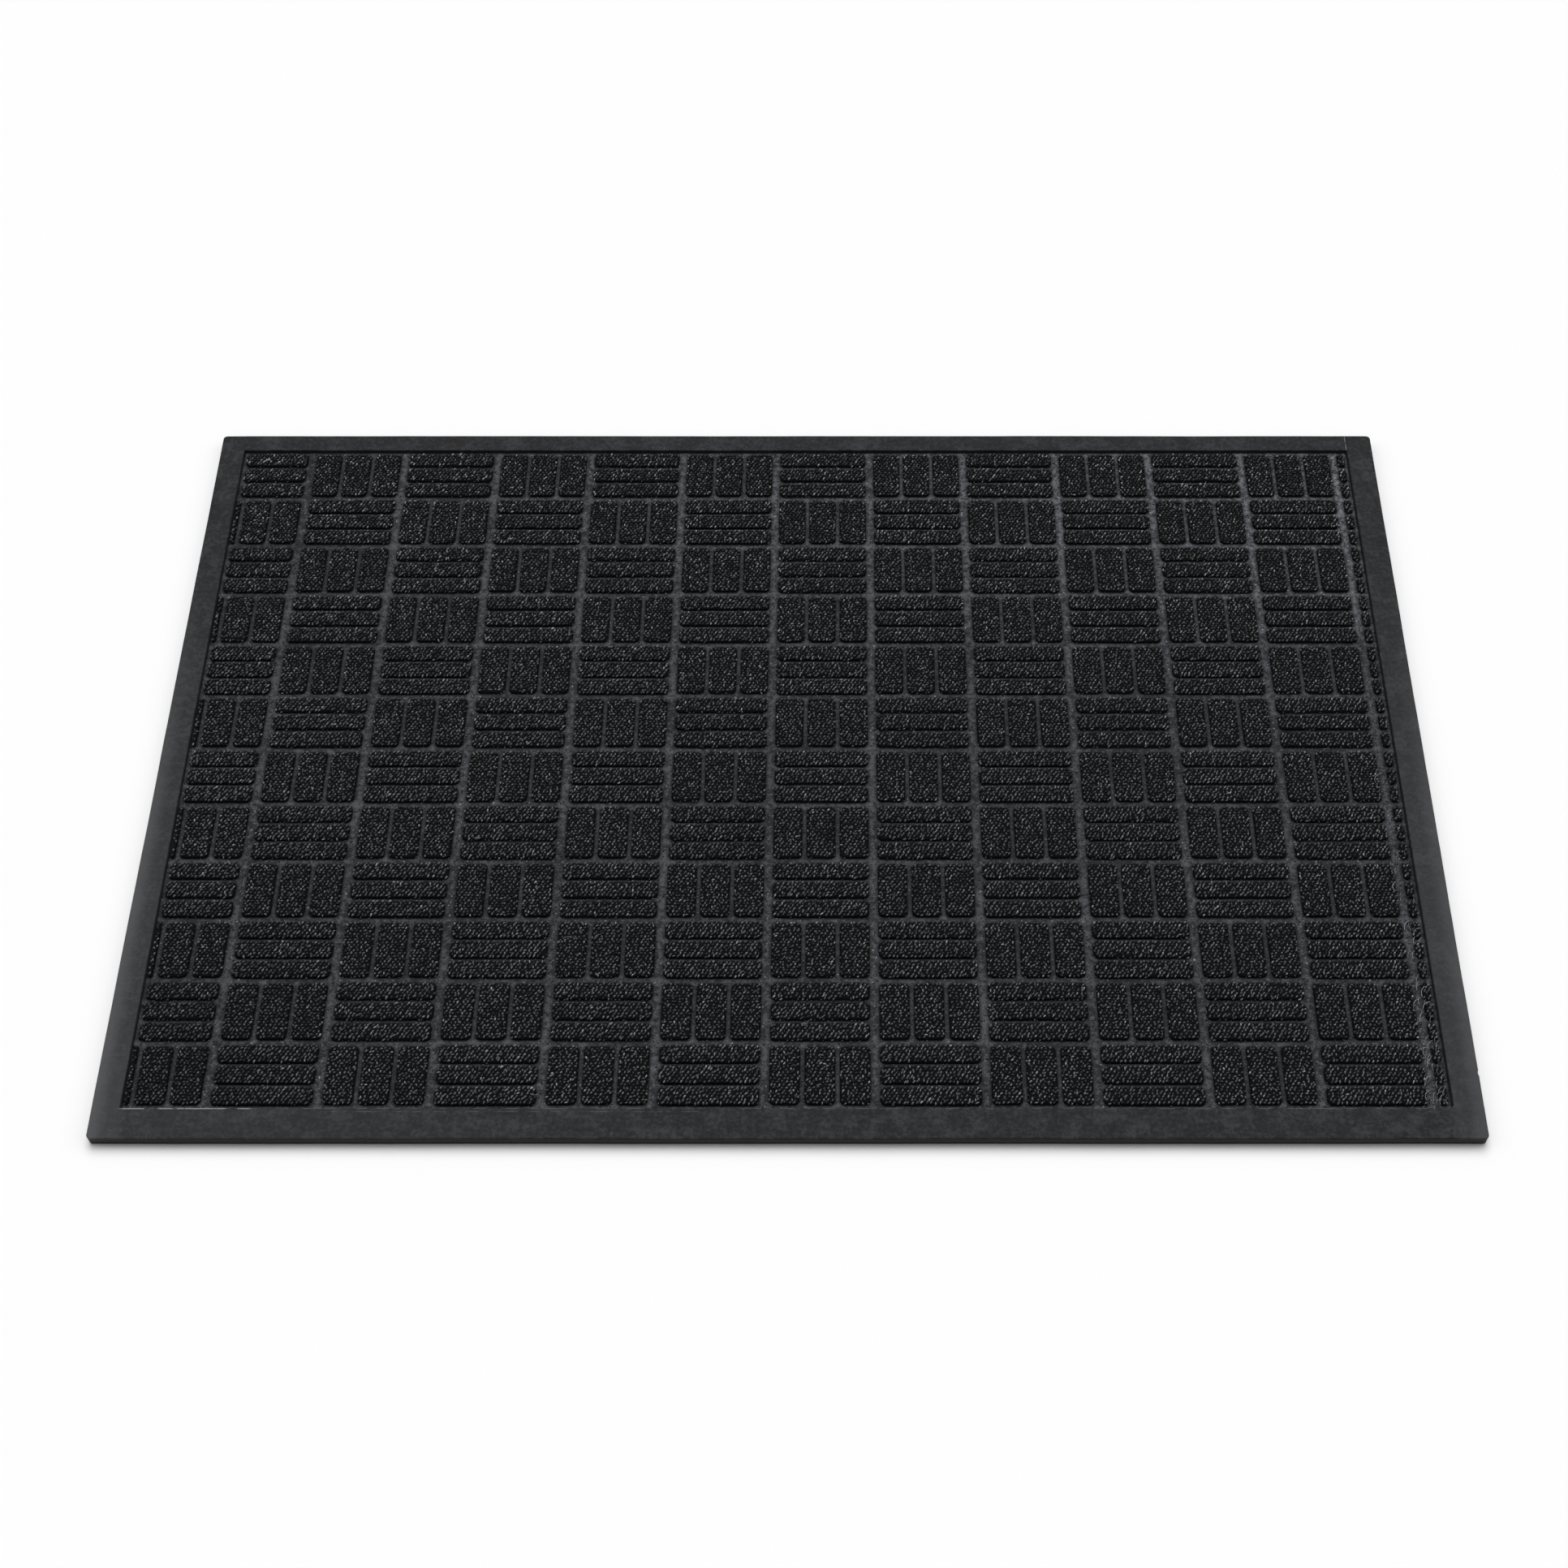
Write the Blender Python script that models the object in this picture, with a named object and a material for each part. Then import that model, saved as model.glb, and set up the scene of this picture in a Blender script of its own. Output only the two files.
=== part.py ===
"""Entrance door mat: a loop-pile carpet, pressed into a basket-weave block pattern,
bonded to a rubber base sheet and framed by four rubber border strips.

Frame: origin at the centre of the mat on the floor, +X along the long side,
+Y from the front edge towards the back edge, +Z up.  Metres throughout.
"""

import bmesh
import bpy
from mathutils import Matrix, Vector

# ---------------------------------------------------------------- driving dimensions

MAT_WIDTH = 0.914  # 36 in, along X
MAT_DEPTH = 0.610  # 24 in, along Y
FIT_GAP = 0.0003  # clearance between neighbouring pieces

BASE_THICKNESS = 0.0026  # rubber base sheet
FILM_THICKNESS = 0.0004  # hot-melt layer that bonds the carpet to the base
CLOTH_THICKNESS = 0.0010  # woven ground cloth that carries the loops
GROOVE_FLOOR = 0.0065  # height of the pressed-down pile between the blocks
BLOCK_TOP = 0.0095  # height of the raised blocks, the highest point of the mat
BORDER_TOP = 0.0088  # height of the rubber border

BORDER_LEFT = 0.0185  # visible width of each border strip
BORDER_RIGHT = 0.0200
BORDER_FRONT = 0.0220
BORDER_BACK = 0.0155
CORNER_RADIUS = 0.0035  # plan radius of the mat's four outer corners
EDGE_ROUND = 0.0008  # rounding of the border's upper edges
CARPET_EDGE_GAP = 0.0005  # between the cut edge of the carpet and the border

COLUMN_PITCH = 0.07350  # one pattern cell along X
ROW_PITCH = 0.04755  # one pattern cell along Y
COLUMN_START = -0.4569  # left side of the first cell, which the border cuts
ROW_START = -0.2824  # front side of the first row of cells
LAST_COLUMN = 12  # column 0 is cut by the left border, this one by the right
ROWS = 12
BARS_PER_CELL = 3

LENGTHWISE_BAR = 0.0128  # width of a bar that runs along X
LENGTHWISE_GROOVE = 0.0026  # groove between two of them
LENGTHWISE_END = 0.0036  # from a bar's end to the side of its cell
CROSSWISE_BAR = 0.0195  # width of a bar that runs along Y
CROSSWISE_GROOVE = 0.0039
CROSSWISE_END = 0.0026

FLAT_EDGE_LEFT = 0.0016  # width of the pressed-flat strip beside each border
FLAT_EDGE_RIGHT = 0.0028
LENGTHWISE_SETBACK = 0.0014  # how much wider it is before lengthwise bars at left
WALL_DRAFT = 0.0006  # how far a block's walls lean in over their height
BLOCK_ROOT = 0.0004  # how deep a block runs into the web below it

# ---------------------------------------------------------------- derived heights

STRIP_BOTTOM = BASE_THICKNESS + FIT_GAP
FILM_BOTTOM = BASE_THICKNESS + FIT_GAP
FILM_TOP = FILM_BOTTOM + FILM_THICKNESS
CLOTH_BOTTOM = FILM_TOP + FIT_GAP
CLOTH_TOP = CLOTH_BOTTOM + CLOTH_THICKNESS
WEB_BOTTOM = CLOTH_TOP + FIT_GAP

LEFT = -MAT_WIDTH / 2
RIGHT = MAT_WIDTH / 2
FRONT = -MAT_DEPTH / 2
BACK = MAT_DEPTH / 2

CARPET_LEFT = LEFT + BORDER_LEFT + CARPET_EDGE_GAP
CARPET_RIGHT = RIGHT - BORDER_RIGHT - CARPET_EDGE_GAP
CARPET_FRONT = FRONT + BORDER_FRONT + CARPET_EDGE_GAP
CARPET_BACK = BACK - BORDER_BACK - CARPET_EDGE_GAP

COLLECTION_NAME = "door_mat"
GUIDE_COLLECTION_NAME = "guides"


# ---------------------------------------------------------------- scene helpers


def clear_scene():
    """Remove every object and every collection of the start-up scene."""
    for existing in list(bpy.data.objects):
        bpy.data.objects.remove(existing, do_unlink=True)
    for group in list(bpy.data.collections):
        bpy.data.collections.remove(group)


def new_collection(name):
    """Make a collection and hang it on the scene."""
    group = bpy.data.collections.new(name)
    bpy.context.scene.collection.children.link(group)
    return group


def finish_material(name, colour, roughness, metallic=0.0):
    """Make a Principled BSDF material of one plain finish."""
    finish = bpy.data.materials.new(name)
    finish.use_nodes = True
    shader = finish.node_tree.nodes["Principled BSDF"]
    shader.inputs["Base Color"].default_value = (*colour, 1.0)
    shader.inputs["Roughness"].default_value = roughness
    shader.inputs["Metallic"].default_value = metallic
    finish.diffuse_color = (*colour, 1.0)
    return finish


def object_from(body, name, finish, group):
    """Turn a bmesh into a named object with its own material."""
    bmesh.ops.recalc_face_normals(body, faces=body.faces[:])
    mesh = bpy.data.meshes.new(name)
    body.to_mesh(mesh)
    body.free()
    mesh.materials.append(finish)
    part = bpy.data.objects.new(name, mesh)
    group.objects.link(part)
    return part


# ---------------------------------------------------------------- solid helpers


def add_block(body, low, high):
    """Add an axis-aligned box between two corners and return its vertices."""
    low = Vector(low)
    high = Vector(high)
    size = high - low
    place = Matrix.Translation((low + high) / 2) @ Matrix.Diagonal((*size, 1.0))
    made = bmesh.ops.create_cube(body, size=1.0, matrix=place)
    return made["verts"]


def edge_is_upright(edge):
    """True for an edge that runs along Z."""
    first, second = (v.co for v in edge.verts)
    return abs(first.z - second.z) > 1e-6 and (first.xy - second.xy).length < 1e-6


def edge_at_corner(edge, corners):
    """True for an upright edge that stands on one of the mat's outer corners."""
    if not edge_is_upright(edge):
        return False
    foot = edge.verts[0].co
    return any(abs(foot.x - x) < 1e-6 and abs(foot.y - y) < 1e-6 for x, y in corners)


OUTER_CORNERS = [(x, y) for x in (LEFT, RIGHT) for y in (FRONT, BACK)]


def round_outer_corners(body, radius, segments):
    """Round the upright edges that stand on the mat's outer corners."""
    chosen = [e for e in body.edges if edge_at_corner(e, OUTER_CORNERS)]
    if chosen:
        bmesh.ops.bevel(
            body,
            geom=chosen,
            offset=radius,
            segments=segments,
            profile=0.5,
            affect="EDGES",
        )


def soften_top(body, height, radius, segments, joint_lines=()):
    """Round the edges around the top face, except those on a butt joint.

    joint_lines holds (axis, position) pairs of the planes where a strip meets
    its neighbour: an edge that lies in one of them stays sharp.
    """

    def on_joint(edge):
        for axis, position in joint_lines:
            if all(abs(v.co[axis] - position) < 1e-6 for v in edge.verts):
                return True
        return False

    chosen = [
        e
        for e in body.edges
        if all(abs(v.co.z - height) < 1e-6 for v in e.verts) and not on_joint(e)
    ]
    bmesh.ops.bevel(
        body,
        geom=chosen,
        offset=radius,
        segments=segments,
        profile=0.5,
        affect="EDGES",
    )


# ---------------------------------------------------------------- rubber pieces


def make_base_sheet(group):
    """The rubber sheet under the whole mat, flat below, with rounded corners."""
    body = bmesh.new()
    add_block(body, (LEFT, FRONT, 0.0), (RIGHT, BACK, BASE_THICKNESS))
    round_outer_corners(body, CORNER_RADIUS, 4)
    finish = finish_material("base_rubber", (0.030, 0.030, 0.031), 0.70)
    return object_from(body, "rubber_base_sheet", finish, group)


def make_border_strip(group, name, low_xy, high_xy, joint_lines):
    """One rubber border strip, laid on the rim of the base sheet."""
    body = bmesh.new()
    add_block(body, (*low_xy, STRIP_BOTTOM), (*high_xy, BORDER_TOP))
    round_outer_corners(body, CORNER_RADIUS, 4)
    soften_top(body, BORDER_TOP, EDGE_ROUND, 2, joint_lines)
    finish = finish_material(name + "_rubber", (0.042, 0.042, 0.044), 0.66)
    return object_from(body, name, finish, group)


def make_border(group):
    """Two full-depth side strips, and the front and back strips between them."""
    joint_left = LEFT + BORDER_LEFT + FIT_GAP / 2
    joint_right = RIGHT - BORDER_RIGHT - FIT_GAP / 2
    half = FIT_GAP / 2
    make_border_strip(
        group, "border_strip_left", (LEFT, FRONT), (joint_left - half, BACK), ()
    )
    make_border_strip(
        group, "border_strip_right", (joint_right + half, FRONT), (RIGHT, BACK), ()
    )
    ends = ((0, joint_left + half), (0, joint_right - half))
    make_border_strip(
        group,
        "border_strip_front",
        (joint_left + half, FRONT),
        (joint_right - half, FRONT + BORDER_FRONT),
        ends,
    )
    make_border_strip(
        group,
        "border_strip_back",
        (joint_left + half, BACK - BORDER_BACK),
        (joint_right - half, BACK),
        ends,
    )


# ---------------------------------------------------------------- textile pieces


def make_flat_layer(group, name, bottom, top, finish):
    """A flat layer of the size of the carpet."""
    body = bmesh.new()
    add_block(
        body,
        (CARPET_LEFT, CARPET_FRONT, bottom),
        (CARPET_RIGHT, CARPET_BACK, top),
    )
    return object_from(body, name, finish, group)


def cell_is_lengthwise(row, column):
    """Basket weave: neighbouring cells turn their bars by a quarter turn.

    Column 0 is the one that the left border cuts, and the last one is the
    sliver at the right border, which has bar ends in every row.
    """
    if column == LAST_COLUMN:
        return True
    return (row + column) % 2 == 1


def bar_rectangles():
    """Yield the plan rectangle of every raised bar, cut to the carpet."""
    first_x = CARPET_LEFT + FLAT_EDGE_LEFT
    last_x = CARPET_RIGHT - FLAT_EDGE_RIGHT
    for row in range(ROWS):
        cell_y = ROW_START + row * ROW_PITCH
        for column in range(LAST_COLUMN + 1):
            cell_x = COLUMN_START + column * COLUMN_PITCH
            for bar in range(BARS_PER_CELL):
                if cell_is_lengthwise(row, column):
                    used = BARS_PER_CELL * LENGTHWISE_BAR
                    used += (BARS_PER_CELL - 1) * LENGTHWISE_GROOVE
                    step = LENGTHWISE_BAR + LENGTHWISE_GROOVE
                    y0 = cell_y + (ROW_PITCH - used) / 2 + bar * step
                    y1 = y0 + LENGTHWISE_BAR
                    x0 = max(cell_x + LENGTHWISE_END, first_x + LENGTHWISE_SETBACK)
                    x1 = cell_x + COLUMN_PITCH - LENGTHWISE_END
                else:
                    used = BARS_PER_CELL * CROSSWISE_BAR
                    used += (BARS_PER_CELL - 1) * CROSSWISE_GROOVE
                    step = CROSSWISE_BAR + CROSSWISE_GROOVE
                    x0 = cell_x + (COLUMN_PITCH - used) / 2 + bar * step
                    x1 = x0 + CROSSWISE_BAR
                    y0 = cell_y + CROSSWISE_END
                    y1 = cell_y + ROW_PITCH - CROSSWISE_END
                    x0 = max(x0, first_x)
                x1 = min(x1, last_x)
                if x1 - x0 > 2.5 * WALL_DRAFT:
                    yield x0, y0, x1, y1


def add_bar(body, x0, y0, x1, y1):
    """One raised bar: a low block whose four walls lean in towards its top."""
    corners = add_block(body, (x0, y0, GROOVE_FLOOR - BLOCK_ROOT), (x1, y1, BLOCK_TOP))
    middle_x = (x0 + x1) / 2
    middle_y = (y0 + y1) / 2
    share_x = 1 - 2 * WALL_DRAFT / (x1 - x0)
    share_y = 1 - 2 * WALL_DRAFT / (y1 - y0)
    for corner in corners:
        if corner.co.z > GROOVE_FLOOR:
            corner.co.x = middle_x + (corner.co.x - middle_x) * share_x
            corner.co.y = middle_y + (corner.co.y - middle_y) * share_y


def make_pile(group, guides):
    """The loop pile: one pressed web with all the raised bars grown out of it."""
    bars_body = bmesh.new()
    for rectangle in bar_rectangles():
        add_bar(bars_body, *rectangle)
    bars_finish = finish_material("pile_guide", (0.035, 0.036, 0.038), 0.95)
    bars = object_from(bars_body, "pile_bars_guide", bars_finish, guides)
    bars.hide_render = True
    bars.display_type = "WIRE"

    finish = finish_material("pile_fibre", (0.030, 0.031, 0.033), 0.95)
    pile = make_flat_layer(group, "carpet_pile", WEB_BOTTOM, GROOVE_FLOOR, finish)
    union = pile.modifiers.new("raised_bars", "BOOLEAN")
    union.operation = "UNION"
    union.solver = "EXACT"
    union.object = bars
    return pile


def main():
    """Build the whole mat."""
    clear_scene()
    group = new_collection(COLLECTION_NAME)
    guides = new_collection(GUIDE_COLLECTION_NAME)

    make_base_sheet(group)
    make_border(group)
    film_finish = finish_material("bonding_hot_melt", (0.10, 0.10, 0.095), 0.45)
    make_flat_layer(group, "bonding_film", FILM_BOTTOM, FILM_TOP, film_finish)
    cloth_finish = finish_material("ground_cloth_weave", (0.060, 0.061, 0.063), 0.90)
    make_flat_layer(
        group, "carpet_ground_cloth", CLOTH_BOTTOM, CLOTH_TOP, cloth_finish
    )
    make_pile(group, guides)


main()
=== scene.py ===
"""Looks of an entrance door mat: loop pile pressed into a basket weave of raised bars,
a rubber base with a moulded grip below, and four rubber border strips.

Everything is in metres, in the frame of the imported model: +X along the long side,
+Y from the front edge to the back edge, +Z up, the origin on the floor.
"""

from __future__ import annotations

import logging
import math
from dataclasses import dataclass, field
from enum import Enum
from typing import Iterator, Sequence, Union

import bmesh
import bpy
import numpy as np
from mathutils import Euler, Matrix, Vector
from mathutils.geometry import delaunay_2d_cdt


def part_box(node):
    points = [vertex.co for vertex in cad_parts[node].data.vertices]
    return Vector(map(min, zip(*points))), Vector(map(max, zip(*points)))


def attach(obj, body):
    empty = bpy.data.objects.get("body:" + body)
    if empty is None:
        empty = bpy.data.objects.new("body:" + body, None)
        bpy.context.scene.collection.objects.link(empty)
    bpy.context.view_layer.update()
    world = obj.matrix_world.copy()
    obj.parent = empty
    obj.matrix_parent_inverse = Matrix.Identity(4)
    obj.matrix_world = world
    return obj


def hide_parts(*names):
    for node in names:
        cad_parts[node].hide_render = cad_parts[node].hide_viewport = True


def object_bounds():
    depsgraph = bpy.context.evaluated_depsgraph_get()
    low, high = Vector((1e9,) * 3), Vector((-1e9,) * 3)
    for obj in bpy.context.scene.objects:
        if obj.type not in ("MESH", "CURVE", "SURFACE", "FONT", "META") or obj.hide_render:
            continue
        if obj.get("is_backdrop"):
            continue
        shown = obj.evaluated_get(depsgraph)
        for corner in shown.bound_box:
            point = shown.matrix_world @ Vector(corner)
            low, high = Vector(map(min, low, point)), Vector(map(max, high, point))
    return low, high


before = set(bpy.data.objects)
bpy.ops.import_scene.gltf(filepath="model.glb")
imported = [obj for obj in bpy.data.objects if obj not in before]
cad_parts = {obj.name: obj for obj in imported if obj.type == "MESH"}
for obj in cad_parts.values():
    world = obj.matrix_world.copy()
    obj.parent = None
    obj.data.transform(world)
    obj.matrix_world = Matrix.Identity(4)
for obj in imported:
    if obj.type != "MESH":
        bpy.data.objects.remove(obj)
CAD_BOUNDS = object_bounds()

LOG = logging.getLogger("door_mat")

MM = 0.001
BODY = "root"
BAKE_MAP = "OFBake"

Array = np.ndarray
Items = bpy.types.bpy_prop_collection
Colour = tuple[float, float, float]
Bar = tuple[float, float, float, float]
Key = Union[str, int]
Pattern = tuple[float, float, float]
Span = tuple[float, float]
Sockets = dict[Key, object]
Material = bpy.types.Material
Mesh = bpy.types.Mesh
Piece = bpy.types.Object


# ---------------------------------------------------------------- node trees


class Wire:
    """One output of a node, on which Python's operators add Math nodes."""

    def __init__(self, sheet: NodeSheet, socket: bpy.types.NodeSocket) -> None:
        """Hold a socket and the sheet that it belongs to."""
        self.sheet = sheet
        self.socket = socket

    def maths(self, operation: str, *others: object) -> Wire:
        """This value and others in a Math node."""
        return self.sheet.maths(operation, self, *others)

    def __add__(self, other: object) -> Wire:
        """This value plus another."""
        return self.maths("ADD", other)

    def __mul__(self, other: object) -> Wire:
        """This value times another."""
        return self.maths("MULTIPLY", other)

    def __sub__(self, other: object) -> Wire:
        """This value less another."""
        return self.maths("SUBTRACT", other)

    def __rsub__(self, other: object) -> Wire:
        """Another value less this one."""
        return self.sheet.maths("SUBTRACT", other, self)

    __radd__, __rmul__ = __add__, __mul__

    def size(self) -> Wire:
        """This value without its sign."""
        return self.maths("ABSOLUTE")

    def least(self, other: object) -> Wire:
        """The smaller of two values."""
        return self.maths("MINIMUM", other)

    def share(self, low: float, high: float) -> Wire:
        """Where this value lies from low to high, eased, as 0 to 1."""
        sockets = {"Value": self, "From Min": low, "From Max": high}
        return self.sheet.node("ShaderNodeMapRange", sockets, interpolation_type="SMOOTHSTEP")


class NodeSheet:
    """A node tree under construction, for shaders and for geometry alike."""

    def __init__(self, tree: bpy.types.NodeTree) -> None:
        """Start on a tree."""
        self.tree = tree

    def node(
        self, kind: str, inputs: Sockets | None = None, output: Key = 0, **settings: object
    ) -> Wire:
        """Add any node.

        Args:
            kind: The node's type.
            inputs: The value or wire of each socket, by name or by number.
            output: Which of its outputs is wanted.
            settings: The node's own settings, which are set first.

        Returns:
            The wire of that output.
        """
        made = self.tree.nodes.new(kind)
        for name, value in settings.items():
            setattr(made, name, value)
        for name, value in (inputs or {}).items():
            self.feed(made.inputs[name], value)
        return Wire(self, made.outputs[output])

    def feed(self, socket: bpy.types.NodeSocket, value: object) -> None:
        """Link a wire to a socket, or set the socket's own value.

        Args:
            socket: The socket to feed.
            value: A wire, a number, or a triple, which may be a colour.
        """
        if isinstance(value, Wire):
            self.tree.links.new(value.socket, socket)
        elif isinstance(value, tuple) and socket.type == "RGBA":
            socket.default_value = (*value, 1.0)
        else:
            socket.default_value = value

    def maths(self, operation: str, *values: object) -> Wire:
        """Wires and numbers in a Math node."""
        return self.node("ShaderNodeMath", dict(enumerate(values)), operation=operation)

    def parts(self, vector: Wire) -> list[Wire]:
        """The three parts of a vector."""
        made = self.node("ShaderNodeSeparateXYZ", {0: vector})
        return [Wire(self, output) for output in made.socket.node.outputs]

    def joined(self, *parts: object) -> Wire:
        """A vector of three parts."""
        return self.node("ShaderNodeCombineXYZ", dict(enumerate(parts)))


class FinishSheet(NodeSheet):
    """A material under construction."""

    def __init__(self, name: str) -> None:
        """Start a material with its Principled shader."""
        self.material = bpy.data.materials.new(name)
        self.material.use_nodes = True
        super().__init__(self.material.node_tree)
        self.place = self.node("ShaderNodeTexCoord", output="Object")

    def noise(
        self, scale: float, detail: float, roughness: float, place: Wire | None = None
    ) -> Wire:
        """A noise pattern.

        Args:
            scale: Repeats per metre.
            detail: Octaves.
            roughness: How strong the finer octaves are.
            place: Its coordinates, the object's own if left out.

        Returns:
            The pattern's value.
        """
        sockets = {"Scale": scale, "Detail": detail, "Roughness": roughness}
        return self.node("ShaderNodeTexNoise", {"Vector": place or self.place, **sockets})

    def turned(self, angle: float, stretch: float) -> Wire:
        """The object's coordinates turned about Z, and stretched across that."""
        sockets = {"Vector": self.place, "Rotation": (0.0, 0.0, angle)}
        return self.node("ShaderNodeMapping", {**sockets, "Scale": (1.0, stretch, 1.0)})

    def attribute(self, label: str) -> Wire:
        """A value that the piece's points carry."""
        return self.node("ShaderNodeAttribute", output="Fac", attribute_name=label)

    def blend(self, share: object, first: object, second: object) -> Wire:
        """A colour between two colours, as share goes from 0 to 1."""
        return self.node("ShaderNodeMix", {0: share, 6: first, 7: second}, 2, data_type="RGBA")

    def bump(self, height: Wire, depth: float, below: Wire | None = None) -> Wire:
        """A bumped normal.

        Args:
            height: The pattern, from 0 to 1.
            depth: How deep it goes, in metres.
            below: A coarser normal that this one lies on.

        Returns:
            The normal.
        """
        coarse = {} if below is None else {"Normal": below}
        sockets = {"Strength": 1.0, "Distance": depth, "Height": height, **coarse}
        return self.node("ShaderNodeBump", sockets)

    def finish(self, **sockets: object) -> Material:
        """Feed the shader's sockets.

        Args:
            sockets: Values or wires, named as the sockets with _ for a blank.

        Returns:
            The material.
        """
        for name, value in sockets.items():
            self.feed(self.tree.nodes["Principled BSDF"].inputs[name.replace("_", " ")], value)
        return self.material


# ---------------------------------------------------------------- finishes
# A noise pattern is its repeats per metre, its octaves and how strong the finer ones are.


def times(factor: float, colour: Colour) -> Colour:
    """A colour made lighter or darker."""
    return tuple(factor * part for part in colour)


@dataclass(frozen=True)
class Streak:
    """A thin pale line on the rubber: mould flash and scuffing, and along the front strip's lip
    also a painted highlight.
    """

    along_x: bool
    place: float
    start: float
    end: float
    width: float = 0.75 * MM
    strength: float = 0.7
    broken: float = 0.45
    ease: float = 4 * MM
    gaps: Pattern = (95.0, 3.0, 0.6)

    def mask(self, sheet: FinishSheet, x: Wire, y: Wire) -> Wire:
        """How strongly the line shows at each point.

        Args:
            sheet: The material's sheet.
            x: The points' places along X.
            y: The same along Y.

        Returns:
            The line's strength, from 0 to 1.
        """
        across, along = (y, x) if self.along_x else (x, y)
        near = 1.0 - (across - self.place).size().share(0.2 * self.width, self.width)
        begun = along.share(self.start - self.ease, self.start)
        inside = begun * (1.0 - along.share(self.end, self.end + self.ease))
        gaps = sheet.noise(*self.gaps).share(self.broken, self.broken + 0.12)
        return near * inside * gaps * self.strength


@dataclass(frozen=True)
class RubberFinish:
    """Moulded rubber: matte and mottled, its walls coloured apart from its top as painted light
    and shade, and paler along its side edges, partly by scuffing and partly as painted sheen.
    """

    name: str
    wall: Colour
    top: Colour
    scuffed_and_sheen: Colour
    roughness: float = 0.66
    half_width: float = 0.457
    rim_width: float = 13 * MM
    side_band: float = 20 * MM
    wear_and_sheen_fades: Span = (-0.14, 0.22)
    edge_heights: Span = (5.5 * MM, 8.5 * MM)
    broad: Pattern = (30.0, 4.0, 0.6)
    mottle: Pattern = (330.0, 4.0, 0.65)
    grain: Pattern = (1700.0, 2.0, 0.5)
    patches: Pattern = (75.0, 5.0, 0.7)
    creases: Pattern = (60.0, 5.0, 0.62)
    specks: Pattern = (640.0, 1.0, 0.4)
    crease_depth: float = 0.30 * MM
    mottle_depth: float = 0.16 * MM
    streaks: tuple[Streak, ...] = ()

    def _wear(self, sheet: FinishSheet, x: Wire, y: Wire) -> Wire:
        """How worn the rubber is, together with painted sheen: most along the side edges, more
        towards the front and on the left, less towards the back.

        Args:
            sheet: The material's sheet.
            x: The points' places along X.
            y: The same along Y.

        Returns:
            The worn share and painted sheen, from 0 to about 1.
        """
        broad = sheet.noise(*self.broad)
        inset = self.half_width - x.size()
        towards_front = 1.0 - y.share(*self.wear_and_sheen_fades)
        rim = (1.0 - inset.share(0.0, self.rim_width)) * (0.55 + 0.8 * broad)
        band = 1.0 - inset.share(self.side_band - 2 * MM, self.side_band + 6 * MM)
        left_end = 0.12 * (1.0 - x.share(-0.46, 0.0)) * (1.0 - y.share(-0.28, -0.2))
        # The side rims and bands, stronger towards the front and on the left, are partly scuffing
        # and partly painted sheen.
        return towards_front * (rim * (0.54 - 0.26 * x) + band * 0.22) + left_end

    def build(self) -> Material:
        """Make the material.

        Returns:
            The material.
        """
        sheet = FinishSheet(self.name)
        x, y, z = sheet.parts(sheet.place)
        wear_and_sheen = self._wear(sheet, x, y)
        mottle, grain = sheet.noise(*self.mottle), sheet.noise(*self.grain)
        patches = sheet.noise(*self.patches).share(0.42, 0.74)
        creases = sheet.noise(*self.creases, sheet.turned(0.35, 4.0))
        tone = 0.55 * mottle + 0.14 * patches + 0.40 * grain + 0.22 * creases
        tone = tone.share(0.52, 0.77)
        colour = sheet.blend(tone, times(0.55, self.top), times(1.55, self.top))
        specks = sheet.noise(*self.specks).share(0.74, 0.80) * 0.35
        colour = sheet.blend((wear_and_sheen + specks).least(1.0), colour, self.scuffed_and_sheen)
        # Below edge_heights the rubber takes the wall colour; on the border strips it is tuned
        # apart from the top to how their walls are lit: painted light and shade.
        colour = sheet.blend(z.share(*self.edge_heights), self.wall, colour)
        for streak in self.streaks:
            # Pale lines, some of them a painted highlight along the front strip's lip.
            colour = sheet.blend(streak.mask(sheet, x, y), colour, times(3.2, self.scuffed_and_sheen))
        soft = sheet.bump(creases, self.crease_depth)
        return sheet.finish(
            Base_Color=colour,
            Roughness=self.roughness + 0.2 * mottle - 0.1 * wear_and_sheen,
            Normal=sheet.bump(mottle * 0.7 + grain * 0.3, self.mottle_depth, soft),
            Specular_IOR_Level=0.12,
        )


@dataclass(frozen=True)
class LoopFinish:
    """Spun loops of heather yarn: near-black strands with a few pale ones."""

    deep: Colour = (0.0062, 0.0067, 0.0076)
    pale: Colour = (0.318, 0.337, 0.364)
    twist_angle: float = math.radians(35)
    plies: Pattern = (1500.0, 2.0, 0.6)
    hairs: Pattern = (5200.0, 2.0, 0.6)
    twist_depth: float = 0.22 * MM

    def build(self) -> Material:
        """Make the material.

        Returns:
            The material.
        """
        sheet = FinishSheet("loop_yarn_charcoal")
        plies = sheet.noise(*self.plies, sheet.turned(self.twist_angle, 3.0))
        hairs = sheet.noise(*self.hairs)
        # The shade attribute holds the yarn's own tone together with painted shade at the bars'
        # edges and painted sheen towards the back, from LoopCarpet._shades.
        tone = (sheet.attribute("shade") * (0.55 + 0.9 * plies)).least(1.0)
        return sheet.finish(
            Base_Color=sheet.blend(tone, self.deep, self.pale),
            Roughness=0.34 + 0.25 * hairs,
            Normal=sheet.bump(plies * 0.7 + hairs * 0.3, self.twist_depth),
            Specular_IOR_Level=0.25,
        )


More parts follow.
